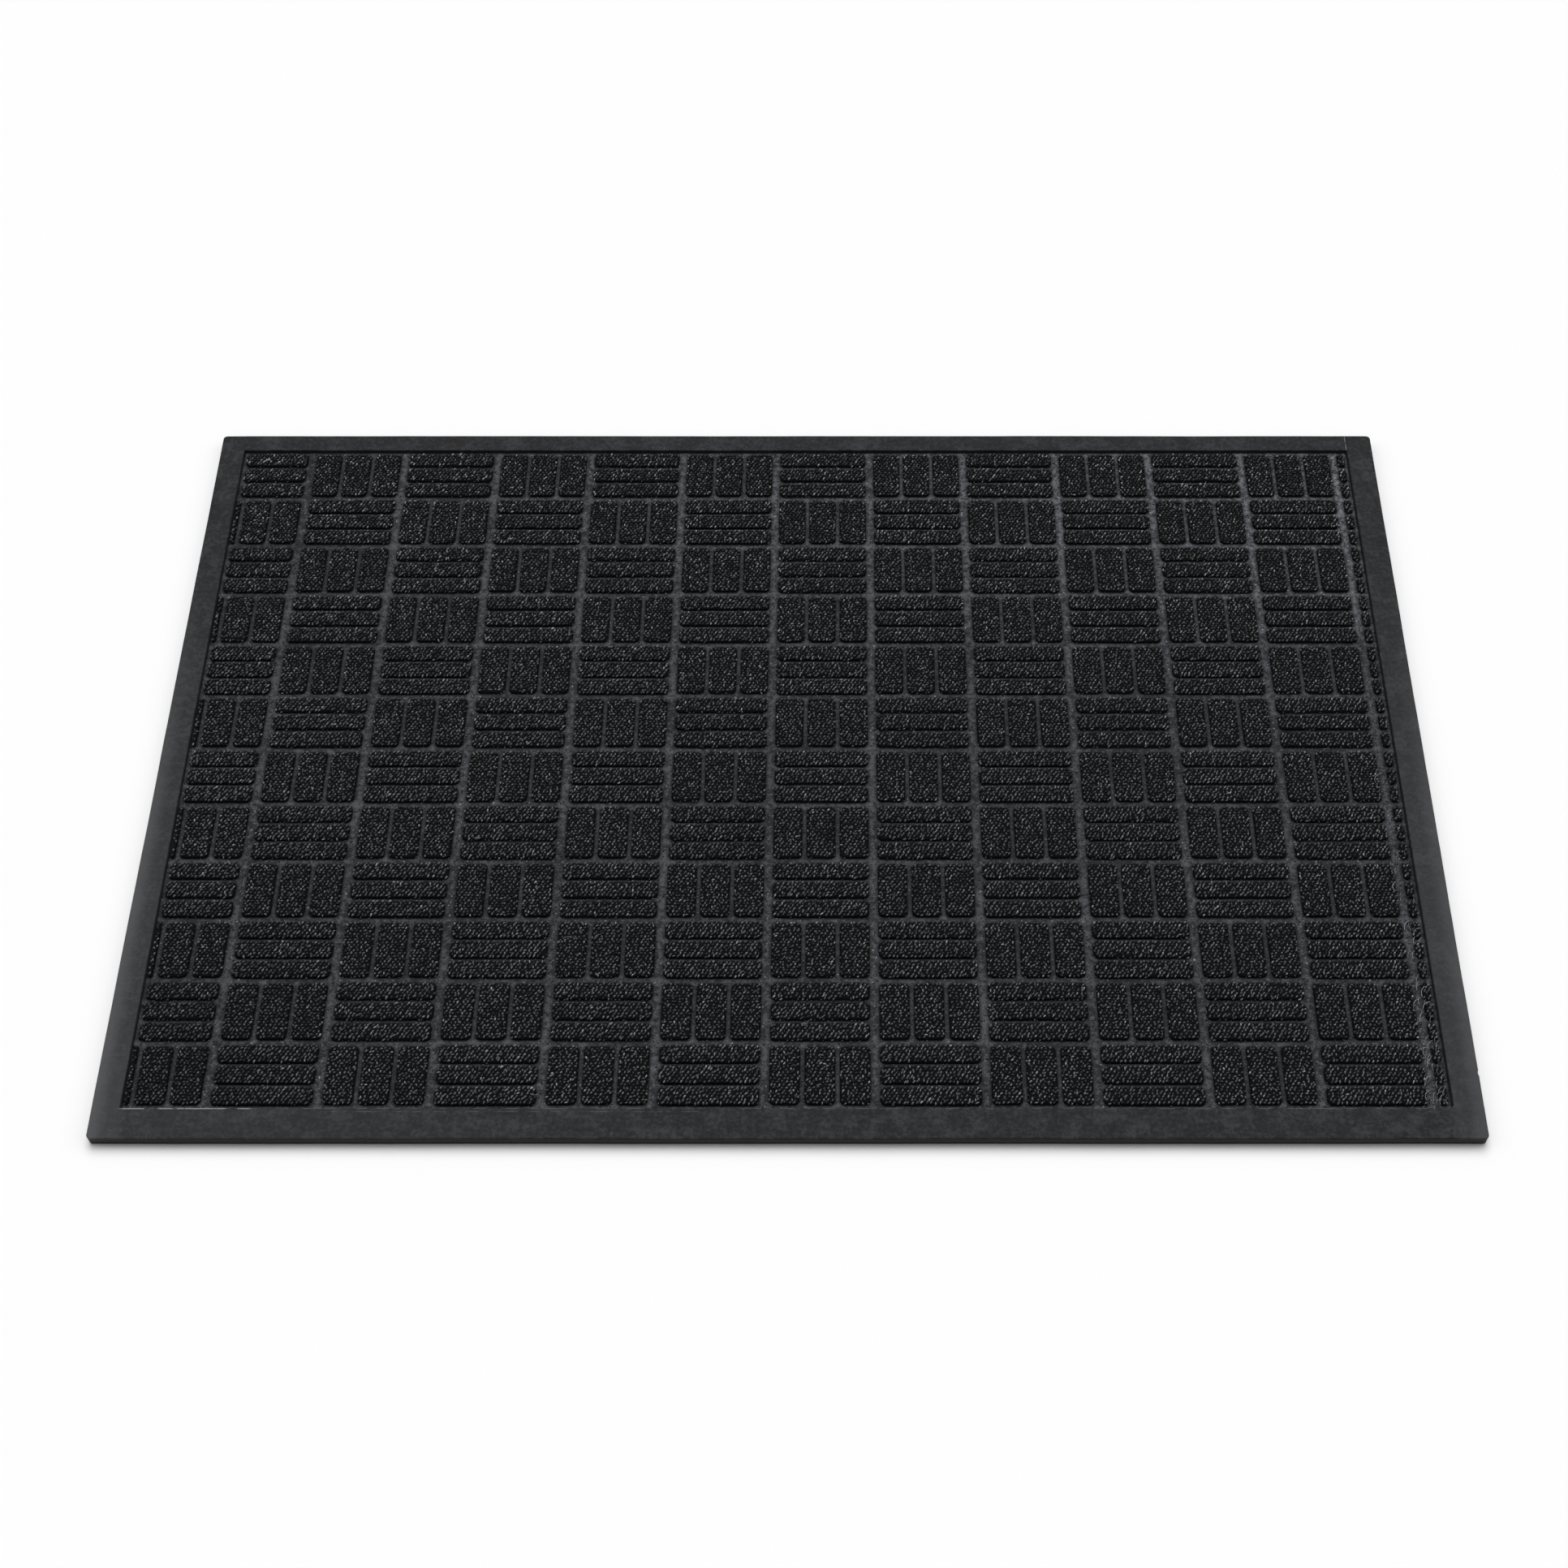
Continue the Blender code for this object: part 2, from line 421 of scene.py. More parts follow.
@dataclass(frozen=True)
class PressedPileFinish:
    """The carpet's own skin: flattened fibre in the grooves, with painted shade where the grooves
    are narrow, and a near-black painted shadow over the root ends in the bars, just beside them
    and along the carpet's edges.
    """

    flattened: Colour = (0.0172, 0.0184, 0.0202)
    brushed: Colour = (0.0695, 0.0740, 0.0796)
    fluff: Colour = (0.156, 0.166, 0.178)
    roots_painted_shadow: Colour = (0.0012, 0.0013, 0.0014)
    strand_angle: float = -1.05
    matted: Pattern = (270.0, 5.0, 0.7)
    strands: Pattern = (700.0, 3.0, 0.6)
    hairs: Pattern = (2600.0, 2.0, 0.6)
    cloud: Pattern = (28.0, 2.0, 0.5)
    felt_depth: float = 0.30 * MM
    hair_depth: float = 0.12 * MM

    def build(self) -> Material:
        """Make the material.

        Returns:
            The material.
        """
        sheet = FinishSheet("pressed_pile")
        x, y, _ = sheet.parts(sheet.place)
        opened = sheet.attribute("open")
        # Inside the bars, just beside them and at the carpet's edges the skin turns near-black:
        # painted shadow.
        raised = 1.0 - opened.share(-0.03, 0.30)
        strands = sheet.noise(*self.strands, sheet.turned(self.strand_angle, 4.0))
        patterns = self.matted, self.hairs, self.cloud
        matted, hairs, cloud = (sheet.noise(*pattern) for pattern in patterns)
        tone = 0.60 * matted + 0.30 * strands + 0.25 * hairs + 0.2 * cloud
        worn = sheet.blend(tone.share(0.62, 0.74), self.flattened, self.brushed)
        fluffed = y.share(0.04, 0.28) * (0.34 + 0.8 * x).share(0.0, 1.0)
        tufts = 0.15 + matted.share(0.42, 0.60)
        worn = sheet.blend((fluffed * tufts).least(1.0), worn, self.fluff)
        # Narrow grooves take the darker flattened colour: painted shade.
        worn = sheet.blend((0.88 - 0.9 * opened).share(0.0, 1.0), worn, self.flattened)
        felt = sheet.bump(matted * 0.5 + strands * 0.5, self.felt_depth)
        return sheet.finish(
            Base_Color=sheet.blend(raised, worn, self.roots_painted_shadow),
            Roughness=0.70 + 0.2 * hairs,
            Normal=sheet.bump(hairs, self.hair_depth, felt),
            Specular_IOR_Level=0.10,
        )


@dataclass(frozen=True)
class WovenFinish:
    """Flat tapes woven over and under each other."""

    warp: Colour = (0.050, 0.051, 0.053)
    weft: Colour = (0.085, 0.086, 0.088)
    tape: float = 1.3 * MM
    crown_height: float = 0.25 * MM
    fibres: Pattern = (3000.0, 2.0, 0.6)

    def build(self) -> Material:
        """Make the material.

        Returns:
            The material.
        """
        sheet = FinishSheet("ground_cloth_weave")
        x, y, _ = sheet.parts(sheet.place)
        across, along = ((part * (math.pi / self.tape)).maths("SINE") for part in (x, y))
        over = (across * along).share(-0.25, 0.25)
        fibres = sheet.noise(*self.fibres)
        tone = sheet.blend(over, self.warp, self.weft)
        crown = across.size() * over + along.size() * (1.0 - over)
        return sheet.finish(
            Base_Color=sheet.blend(0.35 * fibres, tone, self.warp),
            Roughness=0.72 + 0.2 * fibres,
            Normal=sheet.bump(crown, self.crown_height),
        )


@dataclass(frozen=True)
class HotMeltFinish:
    """A thin adhesive film that has flowed and set with small dimples."""

    colour: Colour = (0.075, 0.073, 0.066)
    flow: Pattern = (180.0, 3.0, 0.55)
    dimples: Pattern = (1200.0, 2.0, 0.5)
    dimple_depth: float = 0.12 * MM

    def build(self) -> Material:
        """Make the material.

        Returns:
            The material.
        """
        sheet = FinishSheet("bonding_hot_melt")
        flow, dimples = sheet.noise(*self.flow), sheet.noise(*self.dimples)
        return sheet.finish(
            Base_Color=sheet.blend(flow, times(0.7, self.colour), self.colour),
            Roughness=0.30 + 0.25 * dimples,
            Normal=sheet.bump(flow * 0.6 + dimples * 0.4, self.dimple_depth),
        )


@dataclass(frozen=True)
class FloorFinish:
    """A plain pale studio floor."""

    colour: Colour = (0.86, 0.86, 0.86)

    def build(self) -> Material:
        """Make the material.

        Returns:
            The material.
        """
        sheet = FinishSheet("studio_floor")
        return sheet.finish(Base_Color=self.colour, Roughness=0.9, Specular_IOR_Level=0.0)


# ---------------------------------------------------------------- mesh helpers


def write(items: Items, key: str, values: Array, kind: type = np.float32) -> None:
    """Set a value, or a few, of each of a mesh's items."""
    items.foreach_set(key, values.astype(kind).ravel())


def corner_vertices(mesh: Mesh) -> Array:
    """The vertex number at each corner of each face."""
    numbers = np.empty(len(mesh.loops), np.int32)
    mesh.loops.foreach_get("vertex_index", numbers)
    return numbers


def vertex_places(mesh: Mesh) -> Array:
    """One row of x, y, z for each vertex."""
    places = np.empty(len(mesh.vertices) * 3, np.float32)
    mesh.vertices.foreach_get("co", places)
    return places.reshape(-1, 3)


def linked(name: str, data: bpy.types.ID | None) -> Piece:
    """Put a mesh, lamp or camera into the scene at the origin."""
    made = bpy.data.objects.new(name, data)
    bpy.context.scene.collection.objects.link(made)
    return made


def dressed(piece: Piece, node: str | None = None) -> Piece:
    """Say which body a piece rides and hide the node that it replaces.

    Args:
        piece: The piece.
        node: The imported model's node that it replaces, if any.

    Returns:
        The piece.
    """
    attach(piece, BODY)
    if node:
        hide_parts(node)
    return piece


def finished(mesh: Mesh, finish: Material, sharp: float) -> Piece:
    """Make a mesh a piece with a finish, shaded smooth.

    Args:
        mesh: The mesh.
        finish: Its material.
        sharp: The angle in degrees past which an edge stays sharp.

    Returns:
        The piece, at the origin.
    """
    mesh.materials.append(finish)
    write(mesh.polygons, "use_smooth", np.ones(len(mesh.polygons)), bool)
    mesh.set_sharp_from_angle(angle=math.radians(sharp))
    return linked(mesh.name, mesh)


def mesh_of(name: str, corners: Array, quads: Array) -> Mesh:
    """Make a mesh of quads.

    Args:
        name: The mesh's name.
        corners: One row of x, y, z for each vertex.
        quads: One row of four vertex numbers for each face.

    Returns:
        The mesh.
    """
    mesh = bpy.data.meshes.new(name)
    mesh.vertices.add(len(corners))
    write(mesh.vertices, "co", corners)
    mesh.loops.add(quads.size)
    write(mesh.loops, "vertex_index", quads, np.int32)
    mesh.polygons.add(len(quads))
    write(mesh.polygons, "loop_start", np.arange(0, quads.size, 4), np.int32)
    mesh.update(calc_edges=True)
    mesh.validate()
    return mesh


def slab_mesh(name: str, x: Array, y: Array, top: Array, bottom: float) -> Mesh:
    """A closed slab with a shaped top and a flat underside.

    Args:
        name: The mesh's name.
        x: Where each grid point stands along X, rows along Y.
        y: Where it stands along Y.
        top: Its height on top.
        bottom: The height of the underside.

    Returns:
        The mesh, its faces pointing outwards.
    """
    count = x.size
    above = np.stack([x, y, top], -1).reshape(-1, 3)
    below = above.copy()
    below[:, 2] = bottom
    number = np.arange(count).reshape(x.shape)
    faces = [number[:-1, :-1], number[:-1, 1:], number[1:, 1:], number[1:, :-1]]
    upper = np.stack(faces, -1).reshape(-1, 4)
    sides = [number[0, :-1], number[:-1, -1], number[-1, :0:-1], number[:0:-1, 0]]
    rim = np.concatenate(sides)
    after = np.roll(rim, -1)
    walls = np.stack([rim, rim + count, after + count, after], -1)
    quads = np.concatenate([upper, (upper + count)[:, ::-1], walls])
    return mesh_of(name, np.concatenate([above, below]), quads)


def waves(along: Array, seed: int, longest: float) -> Array:
    """A smooth random line from about -1 to 1.

    Args:
        along: Places along the line.
        seed: Which line.
        longest: Its longest wave.

    Returns:
        The line's value at each place.
    """
    rng = np.random.default_rng(seed)
    value = np.zeros_like(along)
    for octave in range(4):
        length = longest / 1.9**octave * rng.uniform(0.85, 1.15)
        phase = rng.uniform(0, 2 * math.pi)
        value = value + np.sin(2 * math.pi * along / length + phase) / 1.5**octave
    return value / 2.4


def graded(low: float, high: float, step: float, fine: Sequence[float]) -> Array:
    """Places along a side.

    Args:
        low: Where it starts.
        high: Where it ends.
        step: The even spacing in its middle.
        fine: The closer places near each end, from that end.

    Returns:
        The places, in order.
    """
    near = np.array(fine)
    start = near[-1]
    count = max(2, int(round((high - low - 2 * start) / step)))
    middle = np.linspace(low + start, high - start, count + 1)
    return np.concatenate([low + near[:-1], middle, (high - near[:-1])[::-1]])


# ---------------------------------------------------------------- the mat's plan


class Side(Enum):
    """The mat's four sides."""

    LEFT = "left"
    RIGHT = "right"
    FRONT = "front"
    BACK = "back"

    @property
    def node(self) -> str:
        """The name of this side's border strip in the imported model."""
        return f"border_strip_{self.value}"


@dataclass
class MatPlan:
    """Where things lie on the mat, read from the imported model's boxes."""

    corner_radius: float = 3.0 * MM
    drift: float = 0.30 * MM
    drift_reach: float = 14 * MM
    high: Vector = field(init=False)
    carpet_low: Vector = field(init=False)
    carpet_high: Vector = field(init=False)

    def __post_init__(self) -> None:
        """Read the boxes."""
        _, self.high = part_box("rubber_base_sheet")
        self.carpet_low, self.carpet_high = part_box("carpet_pile")

    def inset(self, x: Array, y: Array) -> Array:
        """How far points lie inside the mat's rounded outline."""
        radius = self.corner_radius
        return -outside(np.abs(x), np.abs(y), self.high.x, self.high.y, radius)

    def end_of_row(self, y: Array) -> Array:
        """Half the mat's width, which is less in the rounded corners.

        Args:
            y: Places along Y.

        Returns:
            The half width at each place.
        """
        radius = self.corner_radius
        into = np.clip(np.abs(y) - (self.high.y - radius), 0, radius)
        return self.high.x - radius + np.sqrt(radius**2 - into**2)

    def drifted(self, x: Array, y: Array) -> tuple[Array, Array]:
        """Move points as a slightly uneven outer edge moves them.

        Args:
            x: Places along X.
            y: Places along Y.

        Returns:
            The moved places along X and along Y.
        """
        sway_x = np.where(x > 0, waves(y, 11, 0.23), waves(y, 12, 0.31))
        sway_y = np.where(y > 0, waves(x, 13, 0.36), waves(x, 14, 0.27))
        moved = []
        for place, edge, sway in ((x, self.high.x, sway_x), (y, self.high.y, sway_y)):
            near = np.clip(1 - (edge - np.abs(place)) / self.drift_reach, 0, 1) ** 2
            inwards = 0.1 * self.drift - self.drift * 0.5 * sway
            moved.append(place - np.sign(place) * near * inwards)
        return moved[0], moved[1]


def outside(x: Array, y: Array, half_x: Array, half_y: Array, radius: Array) -> Array:
    """How far points lie outside a rounded rectangle, negative inside it.

    Args:
        x: Distances from its middle along X.
        y: The same along Y.
        half_x: Half its size along X.
        half_y: Half its size along Y.
        radius: Its corners' radius.

    Returns:
        The distance from its edge.
    """
    over_x, over_y = x - (half_x - radius), y - (half_y - radius)
    corner = np.hypot(np.maximum(over_x, 0), np.maximum(over_y, 0))
    return corner + np.minimum(np.maximum(over_x, over_y), 0) - radius


@dataclass(frozen=True)
class BasketWeave:
    """The pressed pattern: cells of three bars that turn by a quarter from cell to cell."""

    plan: MatPlan
    column_pitch: float = 73.5 * MM
    row_pitch: float = 47.55 * MM
    column_start: float = -456.9 * MM
    row_start: float = -282.4 * MM
    last_column: int = 12
    rows: int = 12
    lengthwise_bar: float = 12.8 * MM
    lengthwise_groove: float = 2.6 * MM
    lengthwise_end: float = 3.6 * MM
    crosswise_bar: float = 19.5 * MM
    crosswise_groove: float = 3.9 * MM
    crosswise_end: float = 2.6 * MM
    flat_left: float = 1.6 * MM
    flat_right: float = 2.8 * MM
    setback: float = 1.4 * MM
    corner_radius: float = 3.3 * MM
    thinnest_half: float = 0.4 * MM

    def lengthwise(self, row: Array, column: Array) -> Array:
        """Whether the bars of a cell run along X, as all in the last sliver do."""
        return ((row + column) % 2 == 1) | (column == self.last_column)

    def _middle(self, row: Array, column: Array) -> tuple[Array, Array]:
        """The middle of a cell."""
        x = self.column_start + column * self.column_pitch + self.column_pitch / 2
        return x, self.row_start + row * self.row_pitch + self.row_pitch / 2

    def _bar(self, row: Array, column: Array, number_x: Array, number_y: Array) -> list[Array]:
        """Bars, trimmed where the carpet's left and right edges cut them.

        Args:
            row: The bars' rows of cells.
            column: Their columns of cells.
            number_x: Which of three each one is where they run crosswise, from -1 to 1.
            number_y: The same where they run lengthwise.

        Returns:
            Their middles and half sizes: x, y, along X, along Y.
        """
        along = self.lengthwise(row, column)
        middle_x, middle_y = self._middle(row, column)
        bar_x = middle_x + (self.crosswise_bar + self.crosswise_groove) * number_x
        bar_y = middle_y + (self.lengthwise_bar + self.lengthwise_groove) * number_y
        long_x = self.column_pitch / 2 - self.lengthwise_end
        long_y = self.row_pitch / 2 - self.crosswise_end
        half_x = np.where(along, long_x, self.crosswise_bar / 2)
        half_y = np.where(along, self.lengthwise_bar / 2, long_y)
        x, y = np.where(along, middle_x, bar_x), np.where(along, bar_y, middle_y)
        first = self.plan.carpet_low.x + self.flat_left + np.where(along, self.setback, 0.0)
        left = np.maximum(x - half_x, first)
        right = np.minimum(x + half_x, self.plan.carpet_high.x - self.flat_right)
        return [(left + right) / 2, y, (right - left) / 2, half_y]

    def bar_distance(self, x: Array, y: Array) -> tuple[Array, Array]:
        """How deep points lie in the nearest bar, seen from above.

        Args:
            x: Places along X.
            y: Places along Y.

        Returns:
            The distance inside the bar's rounded outline, negative outside it, and
            whether that bar runs along X.
        """
        column = np.floor((x - self.column_start) / self.column_pitch)
        column = np.clip(column, 0, self.last_column).astype(int)
        row = np.floor((y - self.row_start) / self.row_pitch)
        row = np.clip(row, 0, self.rows - 1).astype(int)
        middle_x, middle_y = self._middle(row, column)
        step_x = self.crosswise_bar + self.crosswise_groove
        step_y = self.lengthwise_bar + self.lengthwise_groove
        number_x = np.clip(np.round((x - middle_x) / step_x), -1, 1)
        number_y = np.clip(np.round((y - middle_y) / step_y), -1, 1)
        bar_x, bar_y, half_x, half_y = self._bar(row, column, number_x, number_y)
        radius = np.clip(np.minimum(half_x, half_y), 0.05 * MM, self.corner_radius)
        depth = -outside(np.abs(x - bar_x), np.abs(y - bar_y), half_x, half_y, radius)
        depth = np.where(half_x > self.thinnest_half, depth, -1.0)
        return depth, self.lengthwise(row, column)

    def bars(self) -> Iterator[Bar]:
        """Yield the bars that are wide enough to stand.

        Returns:
            Each bar's middle and half sizes: x, y, along X, along Y.
        """
        cells = np.arange(self.rows), np.arange(self.last_column + 1), np.arange(-1, 2)
        row, column, number = (grid.ravel() for grid in np.meshgrid(*cells, indexing="ij"))
        for bar in zip(*self._bar(row, column, number, number)):
            if bar[2] > self.thinnest_half:
                yield bar

    def outline(self, bar: Bar, depth: float, steps: int = 5) -> Array:
        """A bar's rounded outline, drawn at a depth inside it.

        Args:
            bar: Its middle and half sizes.
            depth: How far inside its edge, negative for outside.
            steps: Points on each rounded corner.

        Returns:
            The outline's points, anticlockwise.
        """
        x, y, half_x, half_y = bar
        radius = min(half_x, half_y, self.corner_radius)
        reach_x, reach_y = half_x - radius, half_y - radius
        radius = max(radius - depth, 0.1 * MM)
        points = []
        for turn, (side_x, side_y) in enumerate(((1, 1), (-1, 1), (-1, -1), (1, -1))):
            angle = np.linspace(turn, turn + 1, steps) * math.pi / 2
            corner_x = x + side_x * reach_x + radius * np.cos(angle)
            corner_y = y + side_y * reach_y + radius * np.sin(angle)
            points.append(np.stack([corner_x, corner_y], -1))
        ring = np.concatenate(points)
        return ring[np.linalg.norm(ring - np.roll(ring, 1, 0), axis=1) > 0.02 * MM]


# ---------------------------------------------------------------- geometry trees


@dataclass
class Scatter:
    """Points with a turn, a size and a shade each, for a geometry tree to fill."""

    places: Array
    turns: Array
    sizes: Array
    shades: Array

    def mesh(self, name: str) -> Mesh:
        """Make the points a mesh of loose vertices that carry these attributes.

        Args:
            name: The mesh's name.

        Returns:
            The mesh.
        """
        mesh = bpy.data.meshes.new(name)
        mesh.vertices.add(len(self.places))
        write(mesh.vertices, "co", self.places)
        carried = {"turn": self.turns, "size": self.sizes, "shade": self.shades}
        for label, values in carried.items():
            kind, key = ("FLOAT_VECTOR", "vector") if values.ndim > 1 else ("FLOAT", "value")
            write(mesh.attributes.new(label, kind, "POINT").data, key, values)
        return mesh

    def picked(self, chosen: Array) -> Scatter:
        """Only some of the points."""
        parts = self.places, self.turns, self.sizes, self.shades
        return Scatter(*(part[chosen] for part in parts))


class RepeatTree(NodeSheet):
    """A geometry tree that sets one small shape on every point of a Scatter."""

    def __init__(self, name: str, sizes: dict[str, float], seed: int) -> None:
        """Start the tree and name its inputs.

        Args:
            name: The tree's name.
            sizes: Its named sizes and their values.
            seed: The seed of its random size spread.
        """
        super().__init__(bpy.data.node_groups.new(name, "GeometryNodeTree"))
        self._socket("Geometry", "Geometry")
        self.values: dict[str, object] = {}
        for label, value in sizes.items():
            self.values[self._socket(label, "Float")] = value
        self.values[self._socket("Seed", "Int")] = seed
        self.finish_input = self._socket("Finish", "Material")
        self._socket("Geometry", "Geometry", "OUTPUT")
        self.start = self.node("NodeGroupInput")
        self.place = self.node("GeometryNodeInputPosition")

    def _socket(self, label: str, kind: str, way: str = "INPUT") -> str:
        """Add a named input or output and return its identifier."""
        new_socket = self.tree.interface.new_socket
        return new_socket(name=label, in_out=way, socket_type="NodeSocket" + kind).identifier

    def size(self, label: str) -> Wire:
        """The wire of a named input."""
        return Wire(self, self.start.socket.node.outputs[label])

    def attribute(self, label: str) -> Wire:
        """The wire of a triple that the points carry."""
        sockets = {"Name": label}
        return self.node("GeometryNodeInputNamedAttribute", sockets, data_type="FLOAT_VECTOR")

    def close(self, shape: Wire, spread: float) -> None:
        """Repeat the shape on the points, realise it, and give it its finish.

        Args:
            shape: The shape's mesh.
            spread: The share by which its size may vary at random.
        """
        limits = {2: 1.0 - spread, 3: 1.0 + spread, "Seed": self.size("Seed")}
        vary = self.node("FunctionNodeRandomValue", limits, 1, data_type="FLOAT")
        scale = {0: self.attribute("size"), "Scale": vary}
        laying = {
            "Points": self.start,
            "Instance": self.node("GeometryNodeSetShadeSmooth", {0: shape}),
            "Rotation": self.node("FunctionNodeEulerToRotation", {0: self.attribute("turn")}),
            "Scale": self.node("ShaderNodeVectorMath", scale, operation="SCALE"),
        }
        laid = self.node("GeometryNodeInstanceOnPoints", laying)
        real = self.node("GeometryNodeRealizeInstances", {0: laid})
        finish = {"Geometry": real, "Material": self.size("Finish")}
        output = self.tree.nodes.new("NodeGroupOutput")
        self.feed(output.inputs[0], self.node("GeometryNodeSetMaterial", finish))

    def piece(self, name: str, scatter: Scatter, finish: Material) -> Piece:
        """Run the tree on some points.

        Args:
            name: The new piece's name.
            scatter: The points.
            finish: The material of the shapes.

        Returns:
            A plain mesh piece at the origin.
        """
        carrier = linked(name + "_points", scatter.mesh(name + "_points"))
        modifier = carrier.modifiers.new("repeat", "NODES")
        modifier.node_group = self.tree
        for identifier, value in {**self.values, self.finish_input: finish}.items():
            modifier[identifier] = value
        graph = bpy.context.evaluated_depsgraph_get()
        mesh = bpy.data.meshes.new_from_object(carrier.evaluated_get(graph))
        mesh.name = name
        carrier.modifiers.remove(modifier)
        bpy.data.objects.remove(carrier, do_unlink=True)
        for label in ("turn", "size"):
            mesh.attributes.remove(mesh.attributes[label])
        mesh.materials.clear()
        mesh.materials.append(finish)
        return linked(name, mesh)


class LoopTree(RepeatTree):
    """One loop of yarn: a short strand, arched, fuller in its middle."""

    def __init__(self, length: float, width: float, height: float, seed: int) -> None:
        """Build the tree for loops of one size.

        Args:
            length: A loop's length.
            width: Its width.
            height: Its height.
            seed: The seed of the random size spread.
        """
        sizes = {"Loop Length": length, "Loop Width": width, "Loop Height": height, "Arch": 0.45}
        super().__init__("loop_pile_tree", sizes, seed)
        bead = self.node("GeometryNodeMeshIcoSphere", {"Radius": 0.5, "Subdivisions": 1})
        x, y, z = self.parts(self.place)
        sag = self.size("Arch") * (x * x) * 2.0
        bent = (x, "Loop Length"), (y, "Loop Width"), (z - sag, "Loop Height")
        place = self.joined(*(part * self.size(label) for part, label in bent))
        sockets = {"Geometry": bead, "Position": place}
        self.close(self.node("GeometryNodeSetPosition", sockets), 0.10)


class GripTree(RepeatTree):
    """One round grip stud of the underside: a low cone with a flat foot."""

    def __init__(self, radius: float, height: float, seed: int) -> None:
        """Build the tree for studs of one size.

        Args:
            radius: A stud's radius at its base.
            height: Its height.
            seed: The seed of the random size spread.
        """
        super().__init__("grip_stud_tree", {"Stud Radius": radius, "Stud Height": height}, seed)
        wide = self.size("Stud Radius")
        sockets = {"Vertices": 8, "Radius Top": wide, "Radius Bottom": wide * 0.55}
        sockets["Depth"] = self.size("Stud Height")
        self.close(self.node("GeometryNodeMeshCone", sockets, fill_type="NGON"), 0.0)


class FibreTree(RepeatTree):
    """One stray fibre: a thin bent thread."""

    def __init__(self, length: float, thickness: float, seed: int) -> None:
        """Build the tree for fibres of one size.

        Args:
            length: A fibre's length.
            thickness: Its thickness.
            seed: The seed of the random size spread.
        """
        sizes = {"Fibre Length": length, "Fibre Thickness": thickness, "Bend": 0.35}
        super().__init__("stray_fibre_tree", sizes, seed)
        half = self.size("Fibre Length") * 0.5
        lift = self.size("Fibre Length") * self.size("Bend")
        course = {
            "Resolution": 6,
            "Start": self.joined(-1.0 * half, 0.0, 0.0),
            "Middle": self.joined(0.0, lift, lift * 0.3),
            "End": self.joined(half, 0.0, 0.0),
        }
        path = self.node("GeometryNodeCurveQuadraticBezier", course)
        girth = {"Resolution": 4, "Radius": self.size("Fibre Thickness") * 0.5}
        ring = self.node("GeometryNodeCurvePrimitiveCircle", girth)
        tube = {"Curve": path, "Profile Curve": ring, "Fill Caps": True}
        self.close(self.node("GeometryNodeCurveToMesh", tube), 0.30)


# ---------------------------------------------------------------- rubber pieces


